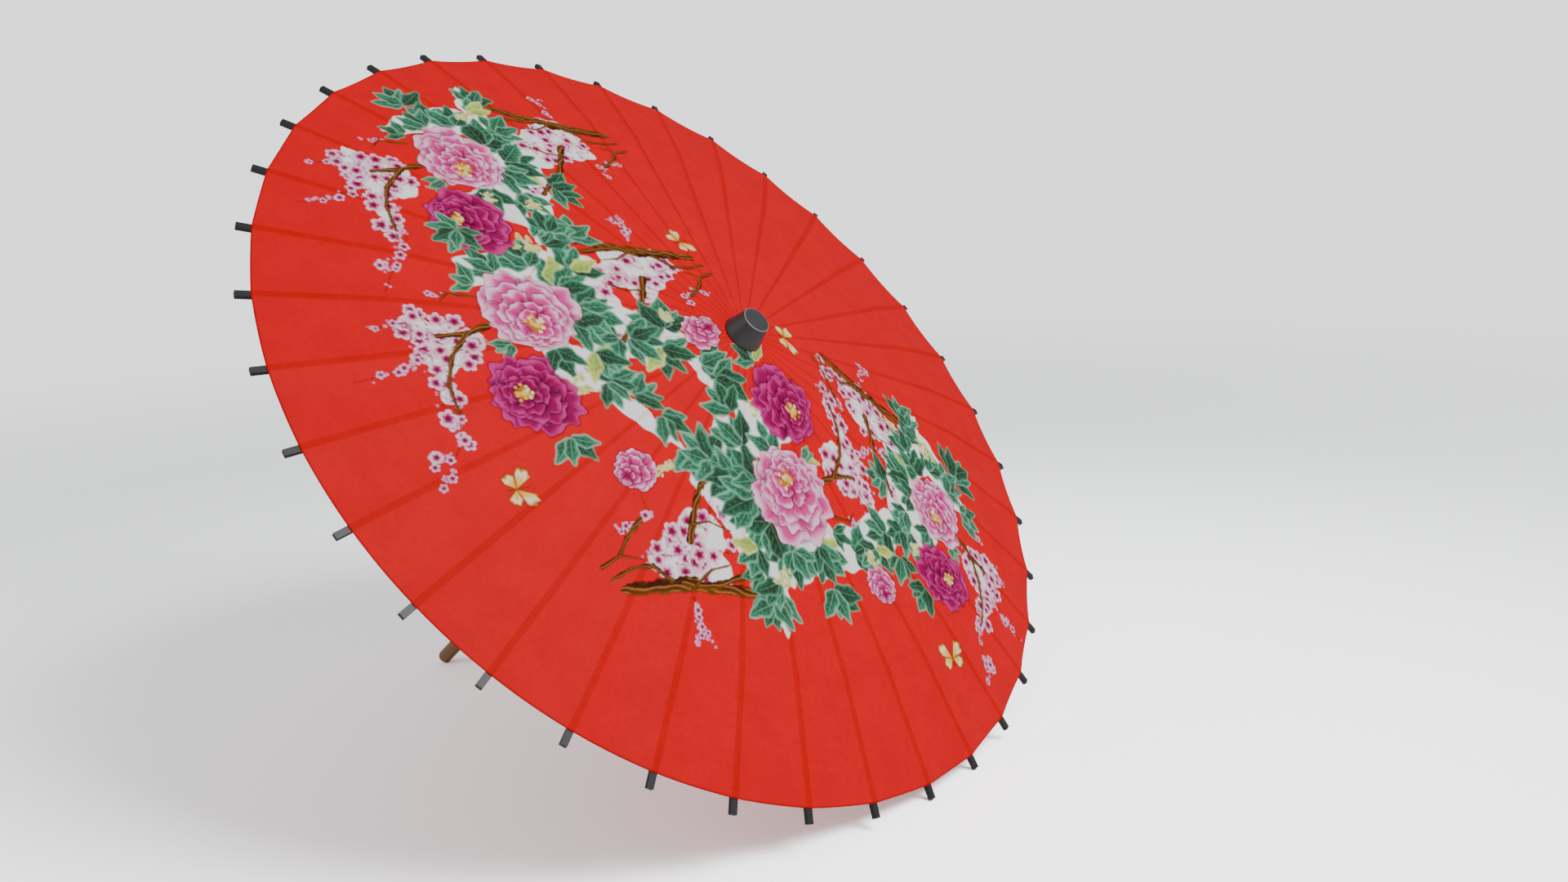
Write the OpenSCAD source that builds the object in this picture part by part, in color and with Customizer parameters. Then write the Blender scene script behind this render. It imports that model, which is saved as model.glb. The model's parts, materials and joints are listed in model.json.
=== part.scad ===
// Oil paper umbrella, standing open on the floor on two rib ends and the end of its pole.
// Everything is modelled in the umbrella's own frame: +Z along the pole towards the cap,
// Z = 0 at the apex of the paper cone. in_place() then leans the whole umbrella over.

/* [Canopy] */
// Outer diameter of the paper
paper_d = 820; // [800:1:840]
// Thickness of the oiled paper
paper_t = 0.6; // [0.4:0.1:0.8]
// Slope of the paper near the crown, degrees
crown_slope = 11.3; // [10.5:0.1:12]
// Slope of the paper near the rim, degrees
rim_slope = 15.3; // [14.5:0.1:16]
// Radius at which the slope changes
bend_r = 310; // [290:1:330]
// Layer of glue between paper and ribs
glue_gap = 0.1; // [0.1:0.05:0.2]

/* [Ribs] */
// Number of ribs and of stretchers
rib_count = 36; // [32:2:36]
// Bare rib end outside the paper
rib_stub = 11.2; // [9:0.1:14]
// Height of a rib
rib_h = 4; // [3.6:0.1:4.2]
// Width of a rib at its root, inside the hub
rib_root_w = 1.7; // [1.4:0.1:1.8]
// Width of a rib from the bend to its end
rib_tip_w = 5.6; // [4.6:0.1:6]

/* [Pole] */
// Diameter of the pole
pole_d = 14.5; // [13:0.1:15]
// Pole from the apex of the paper down to its lower end
pole_below = 578; // [540:1:640]
// Pole above the apex, inside the cap
pole_above = 9; // [6:0.5:11]
// Rounding of the lower end
pole_round = 5; // [2:0.5:6]
// Length of the grip between the turned groove and the rounded end
grip_len = 140; // [120:1:145]
// Width of the turned groove over the grip
groove_w = 1.6; // [1:0.1:2.5]
// Depth of the turned groove
groove_depth = 0.6; // [0.3:0.1:0.8]

/* [Cap] */
// Diameter of the cap at the paper
cap_base_d = 37.4; // [34:0.1:40]
// Diameter of the cap's top
cap_top_d = 26; // [22:0.1:30]
// Height of the cap
cap_h = 22; // [18:0.5:28]
// Bevel around the cap's top
cap_bevel = 1.2; // [0.5:0.1:2]

/* [Hub] */
// Radius of the wire ring that the ribs turn on
hub_wire_r = 17; // [16.5:0.1:18]
// Radius of the slotted part of the hub
hub_r = 20; // [19.5:0.1:21]
// Height of the slotted part of the hub
hub_slotted_h = 19; // [15:0.5:20]
// Radius of the plain collar under the slots
hub_collar_r = 13.5; // [12:0.1:14]
// Height of the plain collar
hub_collar_h = 16; // [12:0.5:18]

/* [Runner and stretchers] */
// Distance of the stretcher's pin from the rib's pivot
joint_along_rib = 175; // [165:1:185]
// Height of the hub's wire over the runner's wire when the umbrella is open
runner_drop = 130; // [120:1:140]
// Radius of the wire ring that the stretchers turn on
runner_wire_r = 16; // [15.5:0.1:17]
// Radius of the runner's slotted head
runner_r = 19; // [18.5:0.1:20]
// Height of the runner's slotted head
runner_head_h = 14; // [12:0.5:16]
// Radius of the runner's neck
runner_neck_r = 12.5; // [11.5:0.1:13.5]
// Height of the runner's neck and foot
runner_neck_h = 26; // [20:0.5:32]
// Width of a stretcher at the runner
stretcher_root_w = 1.5; // [1.2:0.1:1.6]
// Width of a stretcher at the rib
stretcher_tip_w = 2; // [1.6:0.1:2.2]
// Height of a stretcher
stretcher_h = 3; // [2.4:0.1:3.2]

/* [Latch] */
// Length of the latch
latch_len = 42; // [36:1:48]
// Width of the latch
latch_w = 3.8; // [3:0.1:4.2]
// How far the latch stands out of the pole
latch_out = 3.6; // [3:0.1:4]

/* [Fits] */
// Radius of the wires
wire_r = 0.4; // [0.3:0.05:0.5]
// Radius of the pins that join ribs and stretchers
joint_pin_r = 0.6; // [0.5:0.05:0.7]
// Radius of the nails through the pole
nail_r = 1.1; // [0.9:0.05:1.3]
// Radius of the threads
thread_r = 0.35; // [0.25:0.05:0.4]
// Clearance of a loosely threaded hole, on the radius
hole_gap = 0.25; // [0.2:0.05:0.3]
// Clearance of a slot, on each side
slot_gap = 0.2; // [0.15:0.05:0.2]
// Clearance of the runner on the pole, on the radius
runner_gap = 0.35; // [0.3:0.05:0.5]
// Clearance of a seated pin, wire or pole, on the radius
seat_gap = 0.05; // [0.03:0.01:0.08]

/* [Hidden] */
$fn = 48;
eps = 0.5;
pole_r = pole_d / 2;
paper_r = paper_d / 2;
paper_hole_r = pole_r + 2;
tip_r = paper_r + rib_stub;
rib_step = 360 / rib_count;

// Height of the paper's upper face at radius r
function paper_z(r) =
    -min(r, bend_r) * tan(crown_slope) - max(r - bend_r, 0) * tan(rim_slope);
// Height of the paper's lower face, and of a rib's upper face, at radius r
function paper_under_z(r) = paper_z(r) - paper_t / cos(crown_slope);
function rib_top_z(r) = paper_under_z(r) - glue_gap;

// The rib's pivot, and the pin of its stretcher, as [radius, height]
hub_wire_z = rib_top_z(hub_wire_r) - rib_h / 2 / cos(crown_slope);
joint_r = hub_wire_r + joint_along_rib * cos(crown_slope);
joint_z = hub_wire_z - joint_along_rib * sin(crown_slope);
runner_wire_z = hub_wire_z - runner_drop;
stretcher_len = norm([joint_r - runner_wire_r, joint_z - runner_wire_z]);
stretcher_rise = atan2(joint_z - runner_wire_z, joint_r - runner_wire_r);

// Gaps between hub and paper, runner and latch, and at the bottom of each slot
end_gap = 0.4;
slot_floor_gap = 0.4;
// How much shorter a nail is than the wood it goes through
nail_short = 0.6;

// Hub, runner and latch heights
hub_top_z = paper_under_z(hub_r) - end_gap;
hub_slots_end_z = hub_top_z - hub_slotted_h;
hub_bottom_z = hub_slots_end_z - hub_collar_h;
hub_pin_z = hub_bottom_z + hub_collar_h / 2;
hub_slot_r = hub_wire_r - rib_h / 2 - slot_floor_gap;
runner_top_z = runner_wire_z + 3;
runner_neck_z = runner_top_z - runner_head_h;
runner_bottom_z = runner_neck_z - runner_neck_h;
runner_slot_r = runner_wire_r - stretcher_h / 2 - slot_floor_gap;
runner_foot_r = runner_neck_r + 2.5;
latch_top_z = runner_bottom_z - end_gap;
latch_end_z = latch_top_z - latch_len;
latch_pin_z = latch_end_z + 4;
latch_pin_r = 3;

// Straight part of the rib's root, and the slot that the stretcher works in
rib_straight = 28;
rib_slot_len = 16;

// Thread rings: through the ribs under the paper's edge, and through the stretchers
rim_thread_r = paper_r - 4;
rim_thread_z = rib_top_z(rim_thread_r) - rib_h * 0.55;
mid_thread_share = 0.55;
mid_thread_r = runner_wire_r + mid_thread_share * stretcher_len * cos(stretcher_rise);
mid_thread_z = runner_wire_z + mid_thread_share * stretcher_len * sin(stretcher_rise);

// The lean at which two rib ends and the rounded pole end touch one floor
low_x = (tip_r - rib_h * sin(rim_slope)) * cos(rib_step / 2) + rib_tip_w / 2 * sin(rib_step / 2);
low_z = rib_top_z(tip_r) - rib_h * cos(rim_slope);
lean_x = low_x - pole_r + pole_round;
lean_z = pole_below - pole_round + low_z;
lean = atan2(lean_z, lean_x) + asin(pole_round / norm([lean_x, lean_z]));
floor_drop = low_x * sin(lean) - low_z * cos(lean);
back_x = -(pole_r - pole_round) * cos(lean) - (pole_below - pole_round) * sin(lean) - pole_round;
front_x = (tip_r * cos(rib_step / 2) + rib_tip_w / 2 * sin(rib_step / 2)) * cos(lean)
    + rib_top_z(tip_r) * sin(lean);

// Ribs are numbered from the one that stands on the floor, on its left
function rib_name(i) = str("rib_", i < 10 ? "0" : "", i);

// Stands the umbrella on the floor, with the middle of its box over the origin
module in_place() {
    translate([-(back_x + front_x) / 2, 0, floor_drop])
        rotate([0, lean, 0])
            children();
}

// Turns children to the place of each rib
module at_each_rib() {
    for (i = [1:rib_count])
        rotate([0, 0, rib_step * (i - 0.5)])
            children();
}

// A flat outline of [radius, height] points made w thick across the radius
module upright(w, points) {
    rotate([90, 0, 0])
        linear_extrude(height = w, center = true)
            polygon(points);
}

// A round bar across the radius, at radius r and height z
module cross_bar(r, z, bar_r, length) {
    translate([r, 0, z])
        rotate([90, 0, 0])
            cylinder(r = bar_r, h = length, center = true);
}

// A ring of round section about the pole
module ring(r, z, section_r) {
    rotate_extrude()
        translate([r, z])
            circle(r = section_r);
}

// Slots between the teeth of a hub, and the groove that its wire lies in
module slots_and_groove(slot_r, outer_r, slot_w, low_z, high_z, wire_ring_r, wire_z) {
    at_each_rib()
        translate([slot_r, -slot_w / 2, low_z])
            cube([outer_r - slot_r + eps, slot_w, high_z - low_z]);
    rotate_extrude()
        translate([wire_ring_r - wire_r - seat_gap, wire_z - wire_r - seat_gap])
            square([outer_r - wire_ring_r + wire_r + seat_gap + eps, 2 * (wire_r + seat_gap)]);
}

module pole() {
    latch_slot_w = latch_w + 2 * slot_gap;
    latch_slot_back = 3.4;
    grip_top_z = pole_round - pole_below + grip_len;
    color("burlywood")
        difference() {
            rotate_extrude()
                polygon(concat(
                    [[0, pole_above], [0, -pole_below]],
                    [for (turn = [0:10:90])
                        [pole_r, pole_round - pole_below]
                            + pole_round * [sin(turn) - 1, -cos(turn)]],
                    [
                        [pole_r, grip_top_z],
                        [pole_r - groove_depth, grip_top_z],
                        [pole_r - groove_depth, grip_top_z + groove_w],
                        [pole_r, grip_top_z + groove_w],
                        [pole_r, pole_above]
                    ]
                ));
            translate([-pole_r - eps, -latch_slot_w / 2, latch_end_z - 1])
                cube([pole_r + latch_slot_back + eps, latch_slot_w, latch_len + 2]);
            cross_bar(-latch_pin_r, latch_pin_z, nail_r + seat_gap, 2 * pole_r + 2);
            cross_bar(0, hub_pin_z, nail_r + seat_gap, 2 * pole_r + 2);
        }
}

module top_hub() {
    color("peru")
        difference() {
            union() {
                translate([0, 0, hub_slots_end_z])
                    cylinder(r = hub_r, h = hub_slotted_h);
                translate([0, 0, hub_bottom_z])
                    cylinder(r = hub_collar_r, h = hub_collar_h);
            }
            translate([0, 0, hub_bottom_z - eps])
                cylinder(r = pole_r + seat_gap, h = hub_top_z - hub_bottom_z + 2 * eps);
            slots_and_groove(
                hub_slot_r, hub_r, rib_root_w + 2 * slot_gap,
                hub_slots_end_z - eps, hub_top_z + eps, hub_wire_r, hub_wire_z
            );
            cross_bar(0, hub_pin_z, nail_r + seat_gap, 2 * hub_collar_r + 2);
        }
}

module hub_nail() {
    color("tan")
        cross_bar(0, hub_pin_z, nail_r, 2 * hub_collar_r - nail_short);
}

module hub_wire() {
    color("darkgoldenrod")
        ring(hub_wire_r, hub_wire_z, wire_r);
}

module top_cap() {
    base_r = cap_base_d / 2;
    top_r = cap_top_d / 2;
    rim_z = paper_z(base_r) + 0.2;
    top_z = paper_z(base_r) + cap_h;
    socket_r = pole_r + seat_gap;
    side_r = top_r + (base_r - top_r) * cap_bevel / cap_h;
    color("dimgray")
        difference() {
            rotate_extrude()
                polygon([
                    [0, paper_z(0) + 0.2],
                    [base_r, rim_z],
                    [side_r, top_z - cap_bevel],
                    [top_r - cap_bevel, top_z],
                    [0, top_z]
                ]);
            translate([0, 0, -cap_h])
                cylinder(r = socket_r, h = cap_h + pole_above + 0.3);
        }
}

module canopy() {
    color("red")
        rotate_extrude()
            polygon([
                [paper_hole_r, paper_z(paper_hole_r)],
                [bend_r, paper_z(bend_r)],
                [paper_r, paper_z(paper_r)],
                [paper_r, paper_under_z(paper_r)],
                [bend_r, paper_under_z(bend_r)],
                [paper_hole_r, paper_under_z(paper_hole_r)]
            ]);
}

module rim_thread() {
    color("maroon")
        ring(rim_thread_r, rim_thread_z, thread_r);
}

module runner() {
    foot_h = 5;
    color("peru")
        difference() {
            union() {
                translate([0, 0, runner_neck_z])
                    cylinder(r = runner_r, h = runner_head_h);
                translate([0, 0, runner_bottom_z])
                    cylinder(r = runner_neck_r, h = runner_neck_h);
                translate([0, 0, runner_bottom_z])
                    cylinder(r = runner_foot_r, h = foot_h);
            }
            translate([0, 0, runner_bottom_z - eps])
                cylinder(r = pole_r + runner_gap, h = runner_top_z - runner_bottom_z + 2 * eps);
            slots_and_groove(
                runner_slot_r, runner_r, stretcher_root_w + 2 * slot_gap,
                runner_neck_z - eps, runner_top_z + eps, runner_wire_r, runner_wire_z
            );
        }
}

module runner_wire() {
    color("darkgoldenrod")
        ring(runner_wire_r, runner_wire_z, wire_r);
}

// One stretcher, from the runner's wire to the pin in its rib
module stretcher() {
    half = stretcher_h / 2;
    translate([runner_wire_r, 0, runner_wire_z])
        rotate([0, -stretcher_rise, 0])
            difference() {
                intersection() {
                    union() {
                        upright(
                            stretcher_tip_w,
                            [[0, -half], [stretcher_len, -half], [stretcher_len, half], [0, half]]
                        );
                        cross_bar(0, 0, half, stretcher_tip_w);
                        cross_bar(stretcher_len, 0, half, stretcher_tip_w);
                    }
                    translate([0, 0, -half - eps])
                        linear_extrude(height = stretcher_h + 2 * eps)
                            polygon([
                                [-half - eps, -stretcher_root_w / 2],
                                [runner_r, -stretcher_root_w / 2],
                                [stretcher_len / 2, -stretcher_tip_w / 2],
                                [stretcher_len + half + eps, -stretcher_tip_w / 2],
                                [stretcher_len + half + eps, stretcher_tip_w / 2],
                                [stretcher_len / 2, stretcher_tip_w / 2],
                                [runner_r, stretcher_root_w / 2],
                                [-half - eps, stretcher_root_w / 2]
                            ]);
                }
                cross_bar(0, 0, wire_r + hole_gap, stretcher_tip_w + 1);
                cross_bar(stretcher_len, 0, joint_pin_r + 0.15, stretcher_tip_w + 1);
                cross_bar(mid_thread_share * stretcher_len, 0, thread_r + hole_gap, stretcher_tip_w + 1);
            }
}

module stretchers() {
    color("wheat")
        at_each_rib()
            stretcher();
}

module stretcher_pins() {
    color("tan")
        at_each_rib()
            cross_bar(joint_r, joint_z, joint_pin_r, rib_width(joint_r) - 0.2);
}

module stretcher_thread() {
    color("forestgreen")
        ring(mid_thread_r, mid_thread_z, thread_r);
}

module latch() {
    half = nail_r + 1.2;
    color("tan")
        difference() {
            rotate([0, 0, 180])
                upright(latch_w, [
                    [latch_pin_r - half, latch_end_z],
                    [latch_pin_r + half, latch_end_z],
                    [pole_r - 0.6, latch_end_z + 12],
                    [pole_r + latch_out, latch_top_z - 7],
                    [pole_r + latch_out, latch_top_z],
                    [pole_r - 1.6, latch_top_z],
                    [latch_pin_r - half, latch_end_z + 14]
                ]);
            cross_bar(-latch_pin_r, latch_pin_z, nail_r + hole_gap, latch_w + 1);
        }
}

module latch_nail() {
    color("tan")
        cross_bar(
            -latch_pin_r, latch_pin_z, nail_r,
            2 * sqrt(pole_r * pole_r - latch_pin_r * latch_pin_r) - nail_short
        );
}

// Width of a rib at radius r, while the umbrella is open
function rib_width(r) =
    let (start = hub_wire_r + rib_straight)
    let (share = min(max((r - start) / (bend_r - start), 0), 1))
    rib_root_w + (rib_tip_w - rib_root_w) * share;

// One rib, lying along +X
module rib() {
    root = hub_wire_r - rib_h;
    under = rib_h / cos(crown_slope);
    end_r = tip_r - rib_h * sin(rim_slope);
    start = hub_wire_r + rib_straight;
    difference() {
        intersection() {
            union() {
                upright(rib_tip_w, [
                    [hub_wire_r, rib_top_z(hub_wire_r)],
                    [bend_r, rib_top_z(bend_r)],
                    [tip_r, rib_top_z(tip_r)],
                    [end_r, low_z],
                    [bend_r, rib_top_z(bend_r) - under],
                    [hub_wire_r, rib_top_z(hub_wire_r) - under]
                ]);
                cross_bar(hub_wire_r, hub_wire_z, rib_h / 2, rib_tip_w);
            }
            translate([0, 0, low_z - eps])
                linear_extrude(height = -low_z + eps)
                    polygon([
                        [root, -rib_root_w / 2],
                        [start, -rib_root_w / 2],
                        [bend_r, -rib_tip_w / 2],
                        [tip_r + eps, -rib_tip_w / 2],
                        [tip_r + eps, rib_tip_w / 2],
                        [bend_r, rib_tip_w / 2],
                        [start, rib_root_w / 2],
                        [root, rib_root_w / 2]
                    ]);
        }
        cross_bar(hub_wire_r, hub_wire_z, wire_r + hole_gap, rib_tip_w + 1);
        cross_bar(joint_r, joint_z, joint_pin_r + 0.1, rib_tip_w + 1);
        cross_bar(rim_thread_r, rim_thread_z, thread_r + 2 * hole_gap, rib_tip_w + 1);
        translate([joint_r - rib_slot_len * 0.65, -stretcher_tip_w / 2 - slot_gap, joint_z - rib_slot_len / 2])
            cube([rib_slot_len, stretcher_tip_w + 2 * slot_gap, rib_slot_len]);
    }
}

module numbered_rib(i) {
    color("#2e2c2b")
        in_place()
            rotate([0, 0, rib_step * (i - 0.5)])
                rib();
}

in_place() pole();
in_place() top_hub();
in_place() hub_nail();
in_place() hub_wire();
in_place() top_cap();
in_place() canopy();
in_place() rim_thread();
in_place() runner();
in_place() runner_wire();
in_place() stretchers();
in_place() stretcher_pins();
in_place() stretcher_thread();
in_place() latch();
in_place() latch_nail();
for (i = [1:rib_count])
    numbered_rib(i);
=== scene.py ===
"""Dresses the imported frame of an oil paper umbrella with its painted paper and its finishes."""

import json
import logging
import math
from dataclasses import dataclass
from enum import Enum
from typing import ClassVar

import bmesh
import bpy
import numpy as np
from mathutils import Matrix, Vector


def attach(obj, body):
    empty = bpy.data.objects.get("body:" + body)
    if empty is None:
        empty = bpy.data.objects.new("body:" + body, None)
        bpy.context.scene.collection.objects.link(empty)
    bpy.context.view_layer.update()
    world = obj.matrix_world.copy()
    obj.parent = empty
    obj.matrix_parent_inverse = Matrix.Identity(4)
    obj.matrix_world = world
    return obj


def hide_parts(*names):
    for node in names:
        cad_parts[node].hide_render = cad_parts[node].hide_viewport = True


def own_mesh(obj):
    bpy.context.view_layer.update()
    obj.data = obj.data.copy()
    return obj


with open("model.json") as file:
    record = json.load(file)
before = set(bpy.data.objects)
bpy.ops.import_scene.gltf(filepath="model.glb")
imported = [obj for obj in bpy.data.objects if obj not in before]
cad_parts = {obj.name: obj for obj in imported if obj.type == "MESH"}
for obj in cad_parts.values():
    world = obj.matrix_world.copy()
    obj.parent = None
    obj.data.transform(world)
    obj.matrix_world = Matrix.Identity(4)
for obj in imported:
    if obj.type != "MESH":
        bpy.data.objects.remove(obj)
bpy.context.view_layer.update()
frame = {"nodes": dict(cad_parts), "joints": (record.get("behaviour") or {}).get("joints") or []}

LOG = logging.getLogger("umbrella")
MM = 0.001
# Edges sharper than this, in degrees, stay sharp
SHARP_DEG = 40.0
# What one unit of the paper's map stands for across and along a rib, in millimetres
SHEET_WIDE, SHEET_LONG = 100.0, 500.0


def linear(red: int, green: int, blue: int) -> tuple[float, float, float]:
    """Turns a colour of three values up to 255 into the linear values that shaders take.

    Args:
        red: The red value.
        green: The green value.
        blue: The blue value.

    Returns:
        The three linear values.
    """
    shares = (value / 255 for value in (red, green, blue))
    return tuple(s / 12.92 if s <= 0.04045 else ((s + 0.055) / 1.055) ** 2.4 for s in shares)


def shade(colour: tuple, share: float) -> tuple:
    """Darkens a colour to a share of itself."""
    return tuple(share * value for value in colour)


def smooth_step(low: float, high: float, value: np.ndarray) -> np.ndarray:
    """Rises smoothly from 0 at low to 1 at high.

    Args:
        low: Where the rise starts.
        high: Where the rise ends.
        value: The values to judge.

    Returns:
        The share at each value.
    """
    share = np.clip((value - low) / (high - low), 0, 1)
    return share * share * (3 - 2 * share)


@dataclass(frozen=True)
class UmbrellaSizes:
    """The sizes of the CAD model that the looks follow, in millimetres and degrees."""

    rib_count: int = 36
    paper_r: float = 410.0
    paper_t: float = 0.5
    bend_r: float = 310.0
    crown_slope: float = 11.3
    rim_slope: float = 15.3
    rib_h: float = 4.0
    rib_root_w: float = 1.7
    rib_tip_w: float = 5.6
    rib_taper_r: float = 45.0
    rib_top_drop: float = 0.712
    hub_wire_drop: float = 6.148
    joint_r: float = 188.607
    joint_drop: float = 40.439
    runner_wire_r: float = 16.0
    runner_wire_drop: float = 136.148
    mid_thread_share: float = 0.55
    thread_r: float = 0.35
    rim_thread_r: float = 406.0
    sag: float = 1.6

    @property
    def step(self) -> float:
        """The angle from one rib to the next, in radians."""
        return math.tau / self.rib_count

    def paper_height(self, r: np.ndarray) -> np.ndarray:
        """The height of the paper over a rib.

        Args:
            r: Distances from the pole's axis.

        Returns:
            Heights over the apex, which are negative.
        """
        inner = np.minimum(r, self.bend_r) * math.tan(math.radians(self.crown_slope))
        outer = np.maximum(r - self.bend_r, 0) * math.tan(math.radians(self.rim_slope))
        return -inner - outer

    def paper_sag(self, across: np.ndarray, r: np.ndarray) -> np.ndarray:
        """How far the paper hangs between two ribs below its height over a rib.

        Args:
            across: From -1 to 1, with 0 over the rib and the ends midway to the next ribs.
            r: Distances from the pole's axis.

        Returns:
            The drops.
        """
        half_gap = np.maximum(r * math.tan(self.step / 2), 0.5)
        flat = self.rib_width(r) / 2
        free = np.clip((np.abs(across) * half_gap - flat) / np.maximum(half_gap - flat, 0.3), 0, 1)
        return self.sag * (r / self.paper_r) ** 1.5 * (1 - (1 - free) ** 2)

    def rib_width(self, r: np.ndarray) -> np.ndarray:
        """The width of a rib.

        Args:
            r: Distances from the pole's axis.

        Returns:
            The widths there.
        """
        share = np.clip((r - self.rib_taper_r) / (self.bend_r - self.rib_taper_r), 0, 1)
        return self.rib_root_w + (self.rib_tip_w - self.rib_root_w) * share


SIZES = UmbrellaSizes()


class UmbrellaAxes:
    """The umbrella's own frame: Z along the pole to the cap, millimetres, apex of the paper at 0."""

    def __init__(self, joints: list[dict]) -> None:
        """Finds the frame from the runner's slide and the ribs' pivots.

        Args:
            joints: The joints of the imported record.
        """
        by_name = {joint["name"]: joint for joint in joints}
        up = -Vector(by_name["runner_slide"]["axis"]).normalized()
        side = Vector((0, 1, 0))
        pivots = [
            Vector(by_name[f"{rib_name(i)}_hinge"]["pos_m"]) for i in range(SIZES.rib_count)
        ]
        apex = sum(pivots, Vector()) / len(pivots) + up * SIZES.hub_wire_drop * MM
        turn = Matrix((side.cross(up), side, up)).transposed()
        self.turn = turn
        self.matrix = Matrix.Translation(apex) @ turn.to_4x4() @ Matrix.Scale(MM, 4)

    def point(self, x: float, y: float, z: float) -> Vector:
        """A point of the umbrella's own frame, in the row frame."""
        return self.matrix @ Vector((x, y, z))

    def direction(self, x: float, y: float, z: float) -> Vector:
        """A direction of the umbrella's own frame, in the row frame."""
        return self.turn @ Vector((x, y, z))

    def place(self, points: np.ndarray) -> np.ndarray:
        """Moves many points from the umbrella's own frame to the row frame.

        Args:
            points: Rows of x, y and z in millimetres.

        Returns:
            The same rows in metres, in the row frame.
        """
        matrix = np.array(self.matrix)
        return points @ matrix[:3, :3].T + matrix[:3, 3]


def rib_name(index: int) -> str:
    """The CAD name of a rib, counted from 0."""
    return f"rib_{index + 1:02d}"


def rib_angle(index: int) -> float:
    """The angle of a rib about the pole, in radians, counted from 0."""
    return (index + 0.5) * SIZES.step


# ---------------------------------------------------------------- painting


class PaintBoard:
    """A flat painting in canopy millimetres, with a colour and a cover for each cell."""

    # Less cover than this is bare when paint is laid, and when busy blocks are looked for
    BARE, IDLE = 0.02, 0.03

    def __init__(self, half: float = 415.0, cell: float = 0.5) -> None:
        """Makes an empty board.

        Args:
            half: Half the board's side.
            cell: The side of a cell.
        """
        count = int(2 * half / cell)
        self.half, self.cell, self.count = half, cell, count
        self.colour = np.zeros((count, count, 3), np.float32)
        self.cover = np.zeros((count, count), np.float32)

    def window(self, x: float, y: float, reach: float) -> tuple:
        """The part of the board around a point.

        Args:
            x: The point's x.
            y: The point's y.
            reach: How far the part reaches from it.

        Returns:
            The slices of the part, and the x and y of its cells from the point.
        """
        low_x, high_x = (int((x + self.half + s * reach) / self.cell) for s in (-1, 1))
        low_y, high_y = (int((y + self.half + s * reach) / self.cell) for s in (-1, 1))
        cols = slice(max(low_x, 0), max(min(high_x + 1, self.count), 0))
        rows = slice(max(low_y, 0), max(min(high_y + 1, self.count), 0))
        along = (np.arange(cols.start, cols.stop) + 0.5) * self.cell - self.half - x
        up = (np.arange(rows.start, rows.stop) + 0.5) * self.cell - self.half - y
        grid_x, grid_y = np.meshgrid(along, up)
        return (rows, cols), grid_x, grid_y

    def lay(self, part: tuple, mask: np.ndarray, colour: np.ndarray) -> None:
        """Lays paint over a part of the board.

        Args:
            part: The slices of the part.
            mask: How much paint each cell takes.
            colour: One colour, or a colour for each cell.
        """
        share = mask[..., None].astype(np.float32)
        self.colour[part] += (np.asarray(colour, np.float32) - self.colour[part]) * np.maximum(
            share, (self.cover[part] < self.BARE)[..., None] * (share > 0)
        )
        self.cover[part] = np.maximum(self.cover[part], mask)

    def sample(self, x: np.ndarray, y: np.ndarray) -> tuple[np.ndarray, np.ndarray]:
        """Reads the painting between its cells.

        Args:
            x: The x of each point.
            y: The y of each point.

        Returns:
            The colour and the cover at each point.
        """
        col = np.clip((x + self.half) / self.cell - 0.5, 0, self.count - 1.001)
        row = np.clip((y + self.half) / self.cell - 0.5, 0, self.count - 1.001)
        left, low = col.astype(int), row.astype(int)
        fx, fy = col - left, row - low
        colour, cover = 0.0, 0.0
        for dx, wx in ((0, 1 - fx), (1, fx)):
            for dy, wy in ((0, 1 - fy), (1, fy)):
                weight = wx * wy
                colour = colour + self.colour[low + dy, left + dx] * weight[:, None]
                cover = cover + self.cover[low + dy, left + dx] * weight
        return colour, cover

    def busy(self, block: int) -> np.ndarray:
        """Says which blocks of the board hold paint, or lie beside one that does.

        Args:
            block: The cells along one side of a block.

        Returns:
            A grid of truths.
        """
        count = self.count // block
        cut = self.cover[: count * block, : count * block]
        held = cut.reshape(count, block, count, block).max(axis=(1, 3)) > self.IDLE
        grown = held.copy()
        for shift in (-1, 1):
            grown |= np.roll(held, shift, 0) | np.roll(held, shift, 1)
        return grown


@dataclass(frozen=True)
class PetalTones:
    """The colours of one kind of flower, from the root of a petal to its edge."""

    shade: tuple
    root: tuple
    middle: tuple
    edge: tuple


@dataclass(frozen=True)
class LeafTones:
    """The colours of one kind of leaf."""

    deep: tuple
    body: tuple
    light: tuple


class Bloom(Enum):
    """The kinds of flower that the painting holds."""

    PINK = PetalTones(linear(98, 0, 52), linear(162, 16, 94), linear(220, 70, 150), linear(251, 200, 230))
    PLUM = PetalTones(linear(48, 0, 26), linear(84, 0, 48), linear(150, 8, 86), linear(204, 60, 140))


class Foliage(Enum):
    """The kinds of leaf that the painting holds."""

    TEAL = LeafTones(linear(0, 52, 38), linear(14, 124, 88), linear(146, 218, 186))
    DARK = LeafTones(linear(0, 34, 26), linear(4, 90, 64), linear(100, 188, 150))
    LIME = LeafTones(linear(84, 146, 56), linear(196, 214, 96), linear(246, 246, 170))


WHITE = linear(252, 250, 250)
BARK_DARK, BARK, BARK_LIGHT = linear(48, 24, 6), linear(116, 70, 22), linear(184, 136, 66)
GOLD_DARK, GOLD, CREAM = linear(196, 118, 22), linear(244, 188, 62), linear(252, 240, 184)
BERRY = linear(128, 8, 62)


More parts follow.
